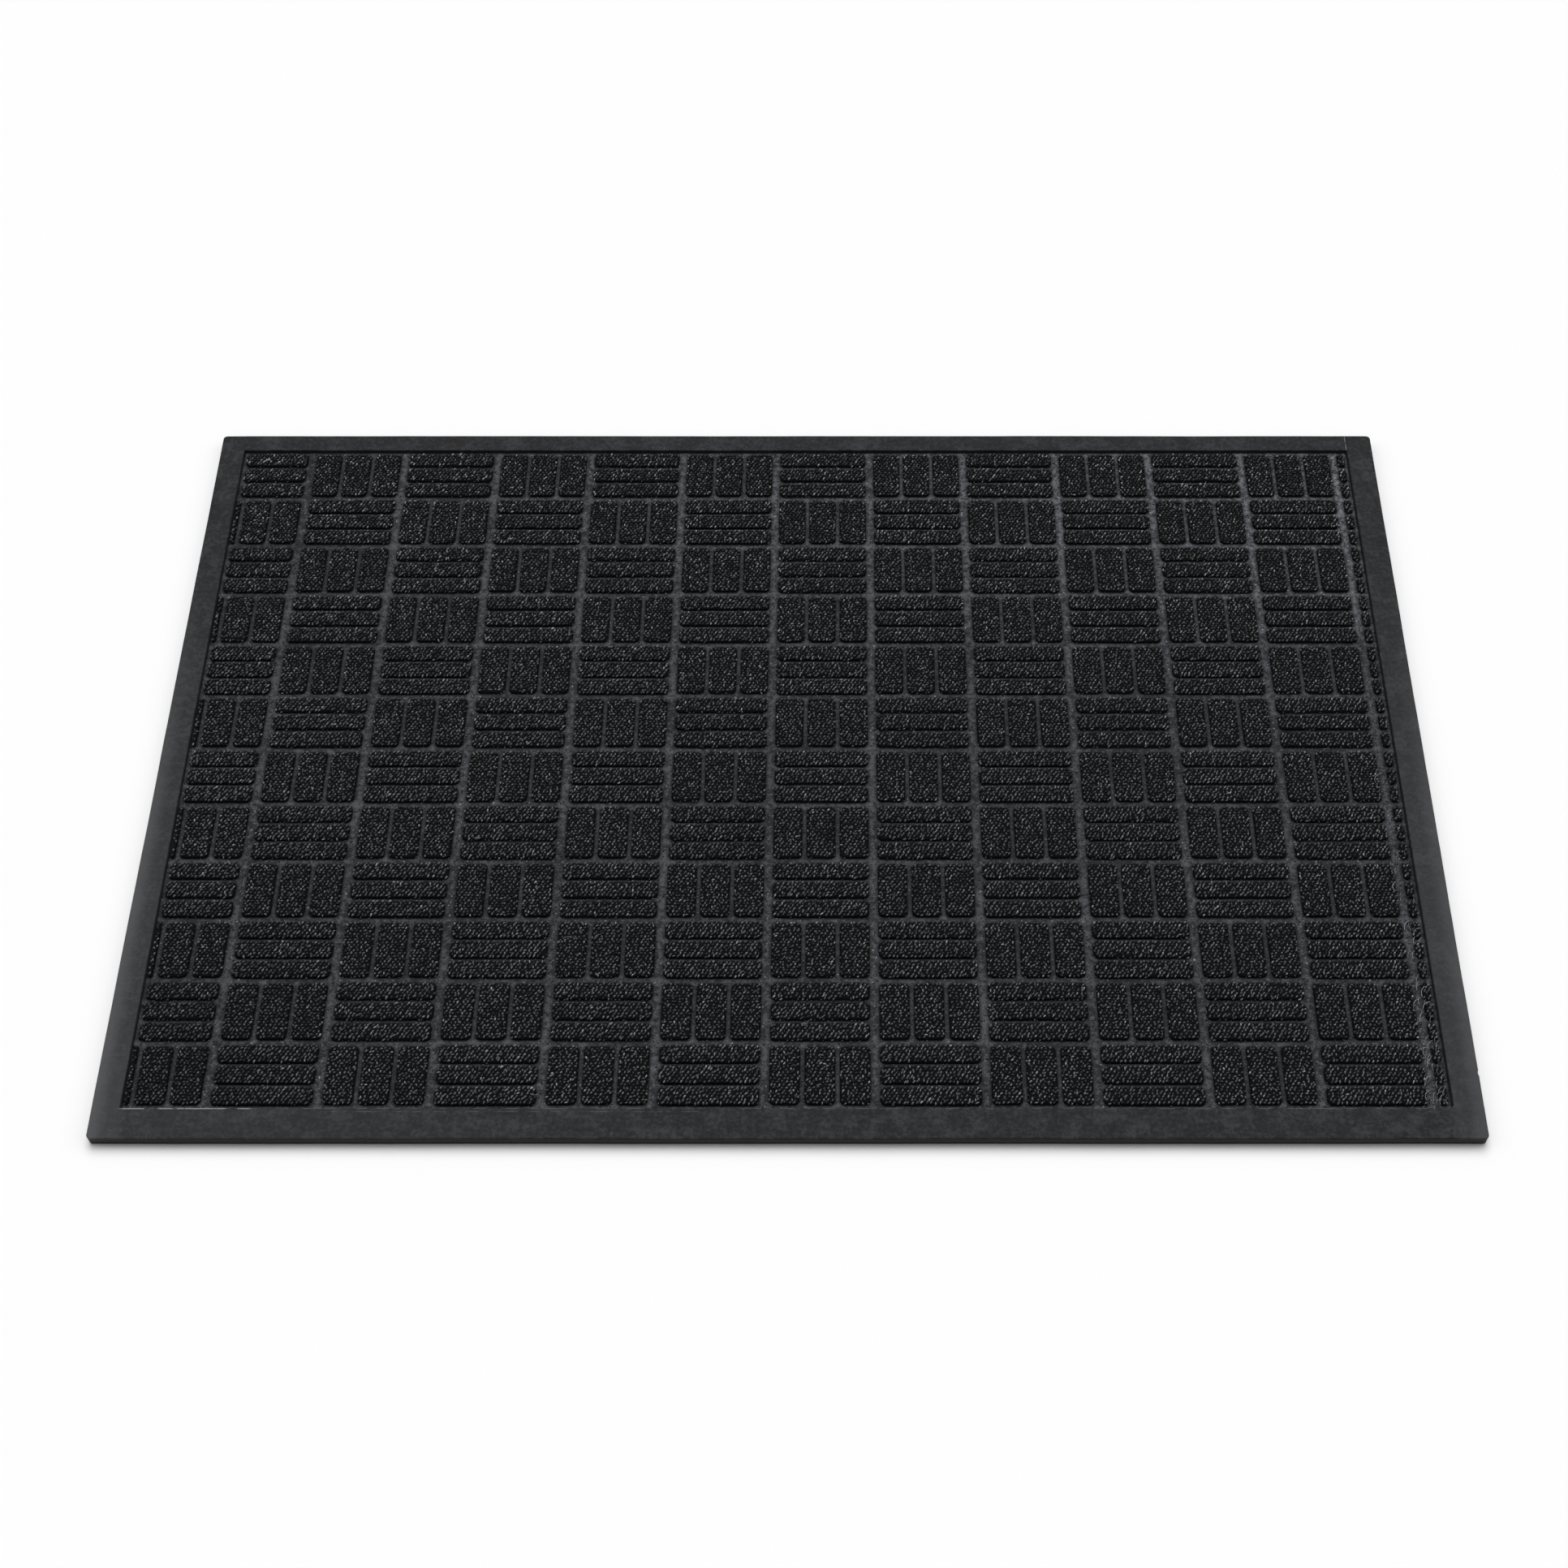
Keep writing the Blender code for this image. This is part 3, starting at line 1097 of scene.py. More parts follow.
@dataclass
class BorderStrip:
    """One flat rubber strip of the border, softly rolled at its outer edge."""

    plan: MatPlan
    side: Side
    finish: Material
    edge_round: float = 0.5 * MM
    inner_round: float = 0.35 * MM
    roll: float = 0.18 * MM
    roll_width: float = 12 * MM
    uneven: float = 0.10 * MM
    lip: float = 0.10 * MM
    lip_place: float = 0.55 * MM
    lip_width: float = 0.3 * MM
    overlap: float = 0.27 * MM
    sunk: float = 0.2 * MM
    step: float = 6 * MM
    ragged_step: float = 1.4 * MM
    ragged: float = 0.30 * MM
    nick: tuple[float, float, float] = (-0.2575, 0.9 * MM, 1.1 * MM)

    FINE = tuple(np.array([0, 0.08, 0.3, 0.65, 1.1, 1.7, 2.4, 3.0, 5.0]) * MM)
    COARSE = (0.0, 0.3 * MM, 1.2 * MM)
    OUTER = np.array([0, 0.12, 0.35, 0.7, 1.1, 2.2, 4.5, 8.0]) * MM
    INNER = np.array([2.2, 1.2, 0.8, 0.45, 0.2, 0.0]) * MM

    def _across(self, low: float, high: float, outer_first: bool) -> Array:
        """Places across the strip, close together at both of its edges."""
        places = np.concatenate([self.OUTER, (high - low) - self.INNER])
        return low + places if outer_first else (high - places)[::-1]

    def _wear(self, y: Array) -> Array:
        """How far the trimmed outer edge is cut back: small teeth and one nick.

        Args:
            y: Places along Y.

        Returns:
            The cut's depth at each place.
        """
        place, depth, reach = self.nick
        teeth = np.clip(waves(y, 71, 9 * MM) * waves(y, 72, 0.11), 0, 1)
        return self.ragged * teeth + depth * np.exp(-(((y - place) / reach) ** 2))

    def _upright(self, low: Vector, high: Vector) -> tuple[Array, Array, Array]:
        """The grid of a left or right strip.

        Args:
            low: The strip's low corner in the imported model.
            high: Its high corner.

        Returns:
            Places along X and Y, and their distance from the strip's inner edge.
        """
        left = self.side is Side.LEFT
        step = self.step if left else self.ragged_step
        across = self._across(low.x, high.x, left)
        x, y = np.meshgrid(across, graded(low.y, high.y, step, self.FINE))
        narrow = self.plan.high.x - self.plan.end_of_row(y)
        if not left:
            narrow = narrow + self._wear(y)
        width = high.x - low.x
        outer, inner = (low.x, high.x) if left else (high.x, low.x)
        share = np.abs(x - inner) / width
        x = inner + (outer - inner) * share * (width - narrow) / width
        return x, y, np.abs(x - inner)

    def _level(self, low: Vector, high: Vector) -> tuple[Array, Array, Array]:
        """The grid of a front or back strip.

        Args:
            low: The strip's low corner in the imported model.
            high: Its high corner.

        Returns:
            Places along X and Y, and their distance from the strip's inner edge.
        """
        front = self.side is Side.FRONT
        along = graded(low.x - self.overlap, high.x + self.overlap, self.step, self.COARSE)
        x, y = np.meshgrid(along, self._across(low.y, high.y, front))
        return x, y, np.abs(y - (high.y if front else low.y))

    def _height(self, x: Array, y: Array, inner: Array, top: float) -> Array:
        """The strip's upper surface.

        Args:
            x: Places along X.
            y: Places along Y.
            inner: Their distance from the strip's inner edge.
            top: The strip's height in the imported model.

        Returns:
            The height at each place.
        """
        low, high = self.plan.carpet_low, self.plan.carpet_high
        beside = (y > low.y - MM) & (y < high.y + MM)
        outer_gap = np.clip(self.edge_round - self.plan.inset(x, y), 0, self.edge_round)
        inner_gap = np.clip(self.inner_round - inner, 0, self.inner_round) * beside
        from_side = self.plan.high.x - np.abs(x)
        rolled = self.roll * np.clip(1 - from_side / self.roll_width, 0, 1) ** 2
        fall = self.edge_round - np.sqrt(self.edge_round**2 - outer_gap**2)
        fall = fall + self.inner_round - np.sqrt(self.inner_round**2 - inner_gap**2)
        along = x if self.side in (Side.FRONT, Side.BACK) else y
        uneven = self.uneven * waves(along, 21 + len(self.side.value), 0.19)
        strength = np.clip(0.55 + 0.75 * waves(along, 31, 0.12), 0.1, 1.3)
        ridge = np.exp(-(((inner - self.lip_place) / self.lip_width) ** 2))
        ridge = self.lip * strength * ridge
        return top - rolled - fall + ridge + np.minimum(uneven, 1.2 * self.uneven)

    def build(self) -> Piece:
        """Make the strip.

        Returns:
            The finished piece.
        """
        low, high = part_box(self.side.node)
        upright = self.side in (Side.LEFT, Side.RIGHT)
        x, y, inner = (self._upright if upright else self._level)(low, high)
        top = self._height(x, y, inner, high.z)
        x, y = self.plan.drifted(x, y)
        mesh = slab_mesh(f"rubber_strip_{self.side.value}", x, y, top, low.z - self.sunk)
        return dressed(finished(mesh, self.finish, 50), self.side.node)


@dataclass
class BaseSheet:
    """The rubber base: a sheet with rounded corners on a field of grip studs."""

    plan: MatPlan
    finish: Material
    step_x: float = 12 * MM
    step_y: float = 6 * MM
    stud_height: float = 0.8 * MM
    stud_radius: float = 2.3 * MM
    stud_pitch: float = 13 * MM
    stud_margin: float = 10 * MM
    stud_shade: float = 0.2

    def build(self) -> list[Piece]:
        """Make the sheet and its studs.

        Returns:
            The two finished pieces.
        """
        low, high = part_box("rubber_base_sheet")
        along_x = graded(low.x, high.x, self.step_x, (0.0, 2.2 * MM, 8 * MM))
        along_y = graded(low.y, high.y, self.step_y, BorderStrip.FINE)
        x, y = np.meshgrid(along_x, along_y)
        x, y = self.plan.drifted(x * self.plan.end_of_row(y) / high.x, y)
        top, bottom = np.full_like(x, high.z), low.z + self.stud_height
        mesh = slab_mesh("rubber_base_moulding", x, y, top, bottom)
        sheet = dressed(finished(mesh, self.finish, 40), "rubber_base_sheet")
        return [sheet, self._studs(low.z)]

    def _studs(self, floor: float) -> Piece:
        """Make the grip studs, in staggered rows, their feet on the floor.

        Args:
            floor: The floor's height.

        Returns:
            The finished piece.
        """
        pitch, row_step = self.stud_pitch, self.stud_pitch * math.sqrt(3) / 2
        half_x = self.plan.high.x - self.stud_margin
        rows = int((self.plan.high.y - self.stud_margin) / row_step)
        places = []
        for row in range(-rows, rows + 1):
            offset = pitch / 2 * (row % 2)
            count = int((half_x - offset) / pitch)
            for number in range(2 * count + 1 - (row % 2)):
                places.append((offset - (count - number) * pitch, row * row_step, floor))
        count = len(places)
        turns, sizes = np.zeros((count, 3)), np.ones((count, 3))
        scatter = Scatter(np.array(places), turns, sizes, np.full(count, self.stud_shade))
        tree = GripTree(self.stud_radius, self.stud_height + 0.1 * MM, 5)
        return dressed(tree.piece("rubber_grip_studs", scatter, self.finish))


@dataclass
class BondingFilm:
    """The hot-melt film between the base and the carpet, kept as the CAD made it."""

    finish: Material

    def build(self) -> Piece:
        """Give the film its finish.

        Returns:
            The finished piece.
        """
        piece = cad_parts["bonding_film"]
        piece.data.materials.clear()
        piece.data.materials.append(self.finish)
        return piece


# ---------------------------------------------------------------- textile pieces


@dataclass
class GroundCloth:
    """The woven cloth that carries the loops, bonded down flat."""

    finish: Material
    ripple: float = 0.06 * MM
    ripple_length: float = 0.05
    points: tuple[int, int] = (181, 121)

    def build(self) -> Piece:
        """Make the cloth.

        Returns:
            The finished piece.
        """
        low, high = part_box("carpet_ground_cloth")
        along = (np.linspace(*span) for span in zip(low.xy, high.xy, self.points))
        x, y = np.meshgrid(*along)
        top = high.z + self.ripple * waves(x + 0.3 * y, 41, self.ripple_length)
        mesh = slab_mesh("woven_ground_cloth", x, y, top, low.z)
        piece = dressed(finished(mesh, self.finish, 40), "carpet_ground_cloth")
        return piece


@dataclass
class LoopCarpet:
    """The loop pile: a pressed skin with raised bars, and the loops that cover them."""

    weave: BasketWeave
    skin_finish: Material
    loop_finish: Material
    floor_height: float = 6.5 * MM
    skin_top: float = 8.1 * MM
    uneven: float = 0.10 * MM
    foot: float = -0.2 * MM
    wide_groove: float = 3.0 * MM
    edge_shadow_reach: float = 1.4 * MM
    rim_step: float = 2 * MM
    fuzz_step: float = 1.65 * MM
    fuzz_squeeze: float = 1.15
    fuzz_spread: float = 0.15
    fuzz_margin: float = 0.6 * MM
    fuzz_clearance: float = 0.45 * MM
    fuzz_height: float = 0.09 * MM
    loop_length: float = 3.0 * MM
    loop_width: float = 1.45 * MM
    loop_height: float = 1.9 * MM
    loop_step: float = 3.0 * MM
    row_step: float = 2.2 * MM
    row_shift: float = 1.33 * MM
    jitter: Span = (0.42 * MM, 0.36 * MM)
    end_margin: float = 0.8 * MM
    side_margin: float = 1.0 * MM
    strand_angle: float = math.radians(60)
    sway_lengthwise: float = math.radians(15)
    sway_crosswise: float = math.radians(27)
    sway_pressed: float = math.radians(60)
    crosswise_length: float = 0.86
    pressed_height: float = 0.45
    pale_width: float = 0.78
    pale_from: float = 0.3
    slope_step: float = 0.25 * MM
    softened: float = 0.55
    unruly: float = 0.06 * MM
    patches: tuple[int, int] = (4, 3)
    stray_fibres: int = 420
    margin_fibres: int = 120
    lint: int = 36
    lip_height: float = 8.9 * MM
    low: Vector = field(init=False)
    high: Vector = field(init=False)

    RING_DEPTHS = (-0.2 * MM, 0.3 * MM, 0.8 * MM)
    RING_SHARES = (0.0, 0.72, 1.0)

    def __post_init__(self) -> None:
        """Read the carpet's box."""
        self.low, self.high = self.weave.plan.carpet_low, self.weave.plan.carpet_high

    def openness(self, x: Array, y: Array) -> Array:
        """How far from the bars points lie, brought down near the carpet's left, right and back
        edges, twice as far at the back, to lay painted shadow there.

        Args:
            x: Places along X.
            y: Places along Y.

        Returns:
            The share, from 0 beside a bar or at the carpet's left, right and back edges to 1 in a
            wide groove.
        """
        depth, _ = self.weave.bar_distance(x, y)
        low, high = self.low, self.high
        margin = np.minimum(np.minimum(x - low.x, high.x - x), 0.5 * (high.y - y))
        # Falls to 0 at the carpet's left, right and back edges: painted shadow beside the border.
        clear_of_edge_shadow = np.clip(margin / self.edge_shadow_reach, 0, 1)
        return np.clip((self.foot - depth) / self.wide_groove, 0, 1) * clear_of_edge_shadow

    def skin_height(self, x: Array, y: Array) -> Array:
        """The height of the carpet's skin.

        Args:
            x: Places along X.
            y: Places along Y.

        Returns:
            The height at each place.
        """
        depth, _ = self.weave.bar_distance(x, y)
        share = np.interp(depth, self.RING_DEPTHS, self.RING_SHARES)
        uneven = waves(x + 0.6 * y, 51, 0.021) * waves(y - 0.4 * x, 52, 0.017)
        rise = (self.skin_top - self.floor_height) * share
        return self.floor_height + rise + self.uneven * uneven

    def _rim(self) -> Array:
        """Place points along the carpet's cut edge.

        Returns:
            One row of x and y for each point, anticlockwise.
        """
        low, high, step = self.low, self.high, self.rim_step
        x = np.linspace(low.x, high.x, int((high.x - low.x) / step) + 1)
        y = np.linspace(low.y, high.y, int((high.y - low.y) / step) + 1)
        sides = (x[:-1], low.y), (high.x, y[:-1]), (x[:0:-1], high.y), (low.x, y[:0:-1])
        return np.concatenate([np.stack(np.broadcast_arrays(*side), -1) for side in sides])

    def _skin_plan(self) -> tuple[list[Vector], list[tuple[int, int]]]:
        """Plan the skin as seen from above.

        Returns:
            Its points, and the pairs of points between which an edge must run.
        """
        low, high, weave = self.low, self.high, self.weave
        rings = [self._rim()]
        rings += [weave.outline(bar, depth) for bar in weave.bars() for depth in self.RING_DEPTHS]
        edges: list[tuple[int, int]] = []
        count = 0
        for ring in rings:
            number = np.arange(len(ring)) + count
            edges += list(zip(number.tolist(), np.roll(number, -1).tolist()))
            count += len(ring)
        step, squeeze, margin = self.fuzz_step, self.fuzz_squeeze, self.fuzz_margin
        rows, columns = (high.y - low.y) / step * squeeze, (high.x - low.x) / step
        row, column = np.indices((int(rows), int(columns)))
        x = low.x + (column + 0.5 * (row % 2) + 0.25) * step
        y = low.y + (row + 0.5) * step / squeeze
        rng = np.random.default_rng(23)
        x = (x + rng.normal(0, self.fuzz_spread, x.shape) * step).ravel()
        y = (y + rng.normal(0, self.fuzz_spread, y.shape) * step).ravel()
        free = weave.bar_distance(x, y)[0] < self.foot - self.fuzz_clearance
        free &= (x > low.x + margin) & (x < high.x - margin)
        free &= (y > low.y + margin) & (y < high.y - margin)
        points = np.concatenate([*rings, np.stack([x[free], y[free]], -1)])
        return [Vector(point) for point in points.tolist()], edges

    def _skin(self) -> Piece:
        """Make the pressed skin, one closed sheet from edge to edge.

        Returns:
            The piece.
        """
        points, edges = self._skin_plan()
        made = delaunay_2d_cdt(points, edges, [], 0, 1e-7)
        flat = np.array([tuple(point) for point in made[0]])
        faces = np.array(made[2])
        opened = self.openness(*flat.T)
        fuzz = np.random.default_rng(29).normal(0, self.fuzz_height, len(flat))
        top = self.skin_height(*flat.T) + np.where(opened > 0.02, fuzz, 0)
        a, b, c = (flat[faces[:, k]] for k in range(3))
        area = np.cross(b - a, c - a)
        faces[area < 0] = faces[area < 0][:, ::-1]
        mesh = bpy.data.meshes.new("carpet_skin")
        mesh.from_pydata(np.column_stack([flat, top]).tolist(), [], faces.tolist())
        write(mesh.attributes.new("open", "FLOAT", "POINT").data, "value", opened)
        self._close_below(mesh, self.low.z)
        piece = finished(mesh, self.skin_finish, 60)
        place = vertex_places(mesh)[corner_vertices(mesh), :2]
        share = (place - np.array(self.low.xy)) / (self.high - self.low).xy
        write(mesh.uv_layers.new(name=BAKE_MAP).uv, "vector", share)
        return piece

    @staticmethod
    def _close_below(mesh: Mesh, bottom: float) -> None:
        """Pull the skin's outline down and close it below with one flat face.

        Args:
            mesh: The skin's mesh.
            bottom: The height of its underside.
        """
        body = bmesh.new()
        body.from_mesh(mesh)
        rim = [edge for edge in body.edges if edge.is_boundary]
        for item in bmesh.ops.extrude_edge_only(body, edges=rim)["geom"]:
            if isinstance(item, bmesh.types.BMVert):
                item.co.z = bottom
        lower = [edge for edge in body.edges if edge.is_boundary]
        bmesh.ops.holes_fill(body, edges=lower, sides=0)
        bmesh.ops.recalc_face_normals(body, faces=body.faces)
        body.to_mesh(mesh)
        body.free()

    def _loop_places(self, rng: np.random.Generator) -> tuple[Array, Array]:
        """Where the loops stand: shifted rows, each loop a little off its place.

        Args:
            rng: The source of chance.

        Returns:
            The loops' places along X and along Y.
        """
        low, high, step = self.low, self.high, self.loop_step
        rows, columns = (high.y - low.y) / self.row_step, (high.x - low.x) / step
        row, column = np.indices((int(rows), int(columns) + 2))
        x = low.x + column * step + (row * self.row_shift) % step
        y = low.y + (row + 0.5) * self.row_step
        x = (x + rng.normal(0, self.jitter[0], x.shape)).ravel()
        y = (y + rng.normal(0, self.jitter[1], y.shape)).ravel()
        inside = (x > low.x + self.end_margin) & (x < high.x - self.end_margin)
        inside &= (y > low.y + self.side_margin) & (y < high.y - self.side_margin)
        return x[inside], y[inside]

    def _normals(self, rng: np.random.Generator, x: Array, y: Array) -> Array:
        """Which way the skin faces under each loop, softened and a little at random.

        Args:
            rng: The source of chance.
            x: Places along X.
            y: Places along Y.

        Returns:
            One row of x, y, z for each loop, of length 1.
        """
        step = self.slope_step
        slope_x = self.skin_height(x + step, y) - self.skin_height(x - step, y)
        slope_y = self.skin_height(x, y + step) - self.skin_height(x, y - step)
        normal = np.stack([-slope_x, -slope_y, np.full(len(x), 2 * step)], -1)
        normal[:, :2] *= self.softened
        normal[:, :2] += rng.normal(0, self.unruly, (len(x), 2))
        return normal / np.linalg.norm(normal, axis=1, keepdims=True)

    @staticmethod
    def _turns(normal: Array, angle: Array) -> Array:
        """How strands lie that follow an angle over a surface.

        Args:
            normal: Which way the surface faces under each strand.
            angle: The strand's angle seen from above.

        Returns:
            Each strand's turns about X, Y and Z.
        """
        strand = np.stack([np.cos(angle), np.sin(angle), np.zeros_like(angle)], -1)
        strand -= normal * np.sum(strand * normal, 1, keepdims=True)
        strand /= np.linalg.norm(strand, axis=1, keepdims=True)
        rolled = np.arctan2(np.cross(normal, strand)[:, 2], normal[:, 2])
        pitched = -np.arcsin(np.clip(strand[:, 2], -1, 1))
        return np.stack([rolled, pitched, np.arctan2(strand[:, 1], strand[:, 0])], -1)

    def _loops(self) -> Scatter:
        """Work out where the loops stand, how they lean and how pale each one is.

        Returns:
            The loops' points.
        """
        rng = np.random.default_rng(7)
        x, y = self._loop_places(rng)
        count = len(x)
        depth, lengthwise = self.weave.bar_distance(x, y)
        pressed = depth < self.foot
        normal = self._normals(rng, x, y)
        sway = np.where(lengthwise, self.sway_lengthwise, self.sway_crosswise)
        sway = np.where(pressed, self.sway_pressed, sway)
        turns = self._turns(normal, self.strand_angle + rng.normal(0, 1, count) * sway)
        sizes = np.ones((count, 3))
        length = np.where(lengthwise, 1.0, self.crosswise_length)
        sizes[:, 0] = length * rng.uniform(0.85, 1.1, count)
        sizes[:, 1] = rng.uniform(0.88, 1.12, count)
        edge = np.clip((depth + 0.30 * MM) / (0.50 * MM), 0.10, 1)
        sizes *= (0.76 + 0.24 * edge)[:, None]
        sizes[:, 2] *= np.where(pressed, self.pressed_height, 1.0)
        lift = np.where(pressed, -0.05, 0.40 * edge)
        z = self.skin_height(x, y) + (lift + rng.normal(0, 0.16, count)) * MM
        highest = self.high.z - 0.5 * self.loop_height * sizes[:, 2] + 0.1 * MM
        places = np.stack([x, y, np.minimum(z, highest)], -1)
        shades = self._shades(rng, x, y, edge)
        sizes[:, 1] *= np.where(shades > self.pale_from, self.pale_width, 1.0)
        # Pressed loops are darker in narrow grooves and at the carpet's edges: painted shade.
        flattened = rng.gamma(0.9, 0.160, count) * (0.18 + 0.82 * self.openness(x, y))
        fluffed = np.clip((y - 0.04) / 0.24, 0, 1) * np.clip(0.34 + 0.8 * x, 0, 1)
        shades = np.where(pressed, flattened * (1 + 1.5 * fluffed), shades)
        return Scatter(places, turns, sizes, shades)

    @staticmethod
    def _shades(rng: np.random.Generator, x: Array, y: Array, edge: Array) -> Array:
        """How pale each loop is drawn, from 0 to 1: the yarn's own tone, with painted shade on
        loops at the bars' edges and walls, painted sheen that lifts pale loops and darkens the
        rest towards the back, and darker at the front-left corner.

        Args:
            rng: The source of chance.
            x: Places along X.
            y: Places along Y.
            edge: How far each loop stands inside its bar, from 0 to 1.

        Returns:
            Each loop's shade.
        """
        count = len(x)
        shades = rng.gamma(2.0, 0.087, count)
        pale = rng.random(count)
        shades = np.where(pale > 0.88, shades + rng.uniform(0.12, 0.40, count), shades)
        # Towards the back pale loops get lighter and the rest darker: painted sheen.
        back_sheen = np.clip((y - 0.02) / 0.24, 0, 1)
        shades *= np.where(pale > 0.78, 1 + 0.90 * back_sheen, 1 - 0.38 * back_sheen)
        shades = np.where(pale > 0.98, rng.uniform(0.5, 1.0, count), shades)
        drift = 1 + 0.18 * waves(x, 61, 0.16) * waves(y, 62, 0.13)
        corner = np.clip(-x / 0.15 - 1.7, 0, 1) * np.clip(-y / 0.1 - 1, 0, 1)
        # edge darkens loops at the bars' edges and walls: painted shade. corner makes the
        # front-left corner darker.
        return np.clip(shades * drift * edge * (1 - 0.30 * corner), 0, 1)

    @staticmethod
    def _pack_map(mesh: Mesh, count: int) -> None:
        """Give every loop its own place on the bake map.

        Args:
            mesh: A patch of loops, all with the same faces in the same order.
            count: How many loops it holds.
        """
        order = corner_vertices(mesh)[: len(mesh.loops) // count]
        shape = vertex_places(mesh)[: len(mesh.vertices) // count]
        shape = shape - shape.mean(0)
        axes = np.linalg.svd(shape, full_matrices=False)[2]
        flat = shape @ axes[:2].T
        face_rise = (shape @ axes[2])[order].reshape(-1, 3).mean(1).repeat(3)
        local = flat[order] / np.abs(flat).max(0) * 0.5 + 0.5
        local[:, 0] = local[:, 0] * 0.44 + np.where(face_rise > 0, 0.03, 0.53)
        local[:, 1] = local[:, 1] * 0.90 + 0.05
        side = math.ceil(math.sqrt(count))
        number = np.arange(count)
        cells = np.stack([number % side, number // side], -1)
        spread = (cells[:, None, :] + local[None, :, :]) / side
        write(mesh.uv_layers.new(name=BAKE_MAP).uv, "vector", spread)

    def _patches(self, scatter: Scatter) -> list[Piece]:
        """Make the loops, in patches that each stay a modest mesh.

        Args:
            scatter: The loops' points.

        Returns:
            The patches, row by row.
        """
        tree = LoopTree(self.loop_length, self.loop_width, self.loop_height, 3)
        across, deep = self.patches
        size = np.array((self.high - self.low).xy)
        share = (scatter.places[:, :2] - np.array(self.low.xy)) / size
        cell = np.clip((share * self.patches).astype(int), 0, (across - 1, deep - 1))
        made = []
        for row, column in np.ndindex(deep, across):
            chosen = (cell[:, 0] == column) & (cell[:, 1] == row)
            name = f"pile_loops_{row + 1}_{column + 1}"
            made.append(tree.piece(name, scatter.picked(chosen), self.loop_finish))
            self._pack_map(made[-1].data, int(chosen.sum()))
        return made

    def _fibres(self) -> Piece:
        """Make stray fibres in the grooves and on the bars, and lint on the front lip.

        Returns:
            The piece.
        """
        rng = np.random.default_rng(19)
        low, high = self.low, self.high
        loose, tufted, lint = self.stray_fibres, self.margin_fibres, self.lint
        x = rng.uniform(low.x + 2 * MM, high.x - 2 * MM, loose)
        y = rng.uniform(low.y + 2 * MM, high.y - 2 * MM, loose)
        x = np.append(x, high.x - rng.uniform(2.5 * MM, 16 * MM, tufted))
        y = np.append(y, low.y + 5 * MM + 0.26 * rng.random(tufted) ** 1.5)
        z = self.skin_height(x, y) + 0.45 * MM
        z += np.where(z > self.floor_height + 1.2 * MM, 0.35 * MM, 0.0)
        x = np.append(x, np.clip(rng.normal(0.345, 0.045, lint), 0.1, high.x))
        y = np.append(y, low.y - np.abs(rng.normal(0.4 * MM, 1.2 * MM, lint)))
        z = np.append(z, np.full(lint, self.lip_height + 0.15 * MM))
        count = len(x)
        turns = np.zeros((count, 3))
        turns[:, 2] = rng.uniform(0, 2 * math.pi, count)
        turns[loose:, 2] = self.strand_angle + rng.normal(0, 0.35, count - loose)
        turns[:, 0] = rng.normal(0, 0.08, count)
        sizes = np.ones((count, 3)) * rng.uniform(0.5, 1.25, (count, 1))
        sizes[:, 1] *= rng.uniform(0.4, 1, count)
        sizes[loose:] *= (1.35, 1.7, 1.7)
        sizes[loose + tufted :] *= 0.35
        shades = rng.uniform(0.35, 0.95, count)
        shades[loose:] = 1.0
        scatter = Scatter(np.stack([x, y, z], -1), turns, sizes, shades)
        tree = FibreTree(4.2 * MM, 0.20 * MM, 9)
        return tree.piece("stray_fibres", scatter, self.loop_finish)

    def build(self) -> list[Piece]:
        """Make the skin, its loops and the stray fibres.

        Returns:
            The finished pieces, the skin first.
        """
        skin = dressed(self._skin(), "carpet_pile")
        upper = [*self._patches(self._loops()), self._fibres()]
        for piece in upper:
            dressed(piece)
        size = self.high - self.low
        return [skin, *upper]


# ---------------------------------------------------------------- studio


@dataclass
class Lamp:
    """A soft distant studio light."""

    name: str
    azimuth: float
    elevation: float
    softness: float
    strength: float

    def build(self) -> None:
        """Put the light into the scene, shining towards the mat."""
        data = bpy.data.lights.new(self.name, "SUN")
        data.angle = math.radians(self.softness)
        data.energy = self.strength
        turn, rise = math.radians(self.azimuth), math.radians(self.elevation)
        flat = math.cos(rise)
        toward = Vector((flat * math.sin(turn), flat * math.cos(turn), math.sin(rise)))
        lamp = linked(self.name, data)
        lamp.rotation_euler = toward.to_track_quat("Z", "Y").to_euler()
        lamp.location = toward * 3.0


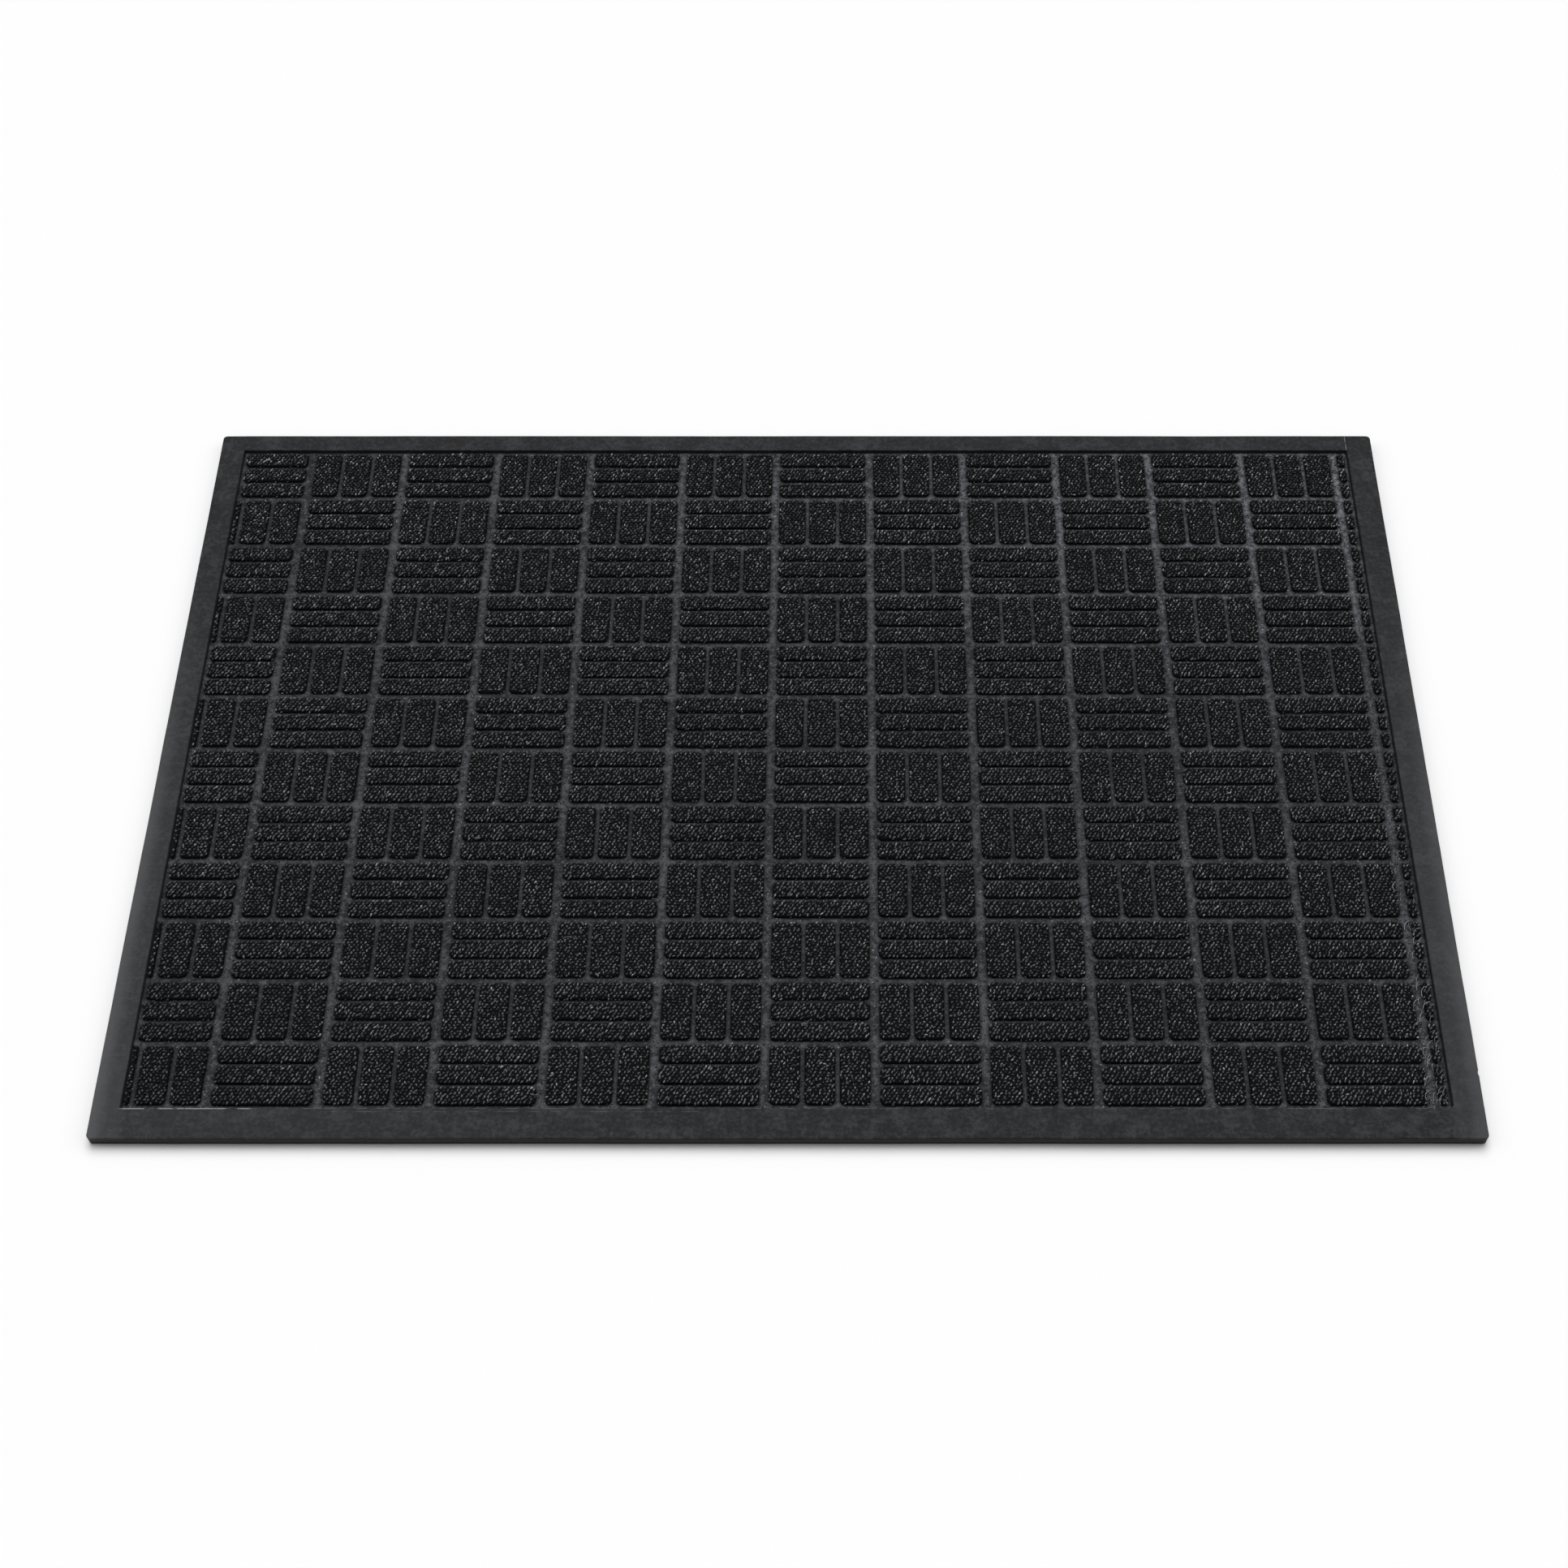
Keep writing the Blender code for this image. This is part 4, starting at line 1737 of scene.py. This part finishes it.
@dataclass
class Studio:
    """Floor, lights, surroundings and camera."""

    camera_place: tuple[float, float, float] = (0.03245, -0.93460, 1.37648)
    camera_pitch: float = math.radians(56.467)
    lens: float = 52.515
    sensor: float = 36.0
    shift: float = -0.03407
    nearest: float = 0.05
    floor_half: float = 40.0
    sky: float = 0.12
    lamps: tuple[Lamp, ...] = (
        Lamp("key_light", 0.0, 60.0, 50.0, 2.60),
        Lamp("dome_light", 0.0, 90.0, 140.0, 0.50),
        Lamp("left_light", -80.0, 38.0, 40.0, 0.40),
        Lamp("right_light", 80.0, 38.0, 40.0, 0.40),
    )

    def build(self) -> None:
        """Set the whole stage."""
        self._floor()
        self._camera()
        self._surroundings()
        for lamp in self.lamps:
            lamp.build()

    def _floor(self) -> None:
        """A wide pale floor under the mat."""
        corners = np.array([(-1, -1, 0), (1, -1, 0), (1, 1, 0), (-1, 1, 0)]) * self.floor_half
        floor = linked("studio_floor", mesh_of("studio_floor", corners, np.array([[0, 1, 2, 3]])))
        floor.data.materials.append(FloorFinish().build())
        floor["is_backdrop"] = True

    def _camera(self) -> None:
        """The camera, looking down at the mat from in front of it."""
        data = bpy.data.cameras.new("camera")
        data.lens, data.sensor_width, data.shift_x = self.lens, self.sensor, self.shift
        data.clip_start = self.nearest
        camera = linked("camera", data)
        camera.location = self.camera_place
        camera.rotation_euler = Euler((math.pi / 2 - self.camera_pitch, 0.0, 0.0))
        bpy.context.scene.camera = camera

    def _surroundings(self) -> None:
        """Surroundings that look white and light dimly, and a plain view transform."""
        scene = bpy.context.scene
        scene.world = world = bpy.data.worlds.new("white_room")
        world.use_nodes = True
        sheet = NodeSheet(world.node_tree)
        background = world.node_tree.nodes["Background"]
        seen = sheet.node("ShaderNodeLightPath", output="Is Camera Ray")
        sheet.feed(background.inputs["Color"], (1.0, 1.0, 1.0))
        sheet.feed(background.inputs["Strength"], self.sky + (1.0 - self.sky) * seen)
        scene.view_settings.view_transform = "Standard"
        scene.view_settings.look = "None"


# ---------------------------------------------------------------- the whole mat


def write_sizes() -> None:
    """Gather the CAD model's box and the visual model's box as plain lists."""
    boxes = {"cad": CAD_BOUNDS, "visual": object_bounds()}
    plain = {name: [list(corner) for corner in box] for name, box in boxes.items()}


def main() -> None:
    """Build the studio and every piece of the mat."""
    logging.basicConfig(level=logging.INFO, format="%(name)s: %(message)s")
    Studio().build()
    plan = MatPlan()
    lip_line, flash_line = plan.carpet_low.y - 0.9 * MM, 0.4366
    border = RubberFinish(
        "border_rubber",
        wall=(0.0305, 0.0307, 0.0313),
        top=(0.0236, 0.0243, 0.0259),
        scuffed_and_sheen=(0.074, 0.075, 0.078),
        # The first three lines run along the front strip near its lip: partly scuffing, partly a
        # painted highlight.
        streaks=(
            Streak(True, lip_line, -0.4365, -0.355, strength=1.0, broken=0.40),
            Streak(True, lip_line + 0.2 * MM, -0.355, 0.43, strength=0.25),
            Streak(True, lip_line - 2.2 * MM, -0.30, -0.06, strength=0.12),
            Streak(False, flash_line, 0.2915, 0.3045, 0.45 * MM, 0.55, 0.30),
        ),
    ).build()
    base = RubberFinish(
        "base_rubber",
        wall=(0.0170, 0.0171, 0.0175),
        top=(0.0150, 0.0152, 0.0158),
        scuffed_and_sheen=(0.030, 0.030, 0.031),
        roughness=0.70,
    ).build()
    loops = LoopFinish().build()
    builders = [
        BaseSheet(plan, base),
        BondingFilm(HotMeltFinish().build()),
        GroundCloth(WovenFinish().build()),
        LoopCarpet(BasketWeave(plan), PressedPileFinish().build(), loops),
        *(BorderStrip(plan, side, border) for side in Side),
    ]
    for builder in builders:
        made = builder.build()
        for piece in made if isinstance(made, list) else [made]:
            LOG.info("%s: %d faces", piece.name, len(piece.data.polygons))
    write_sizes()


if __name__ == "__main__":
    main()
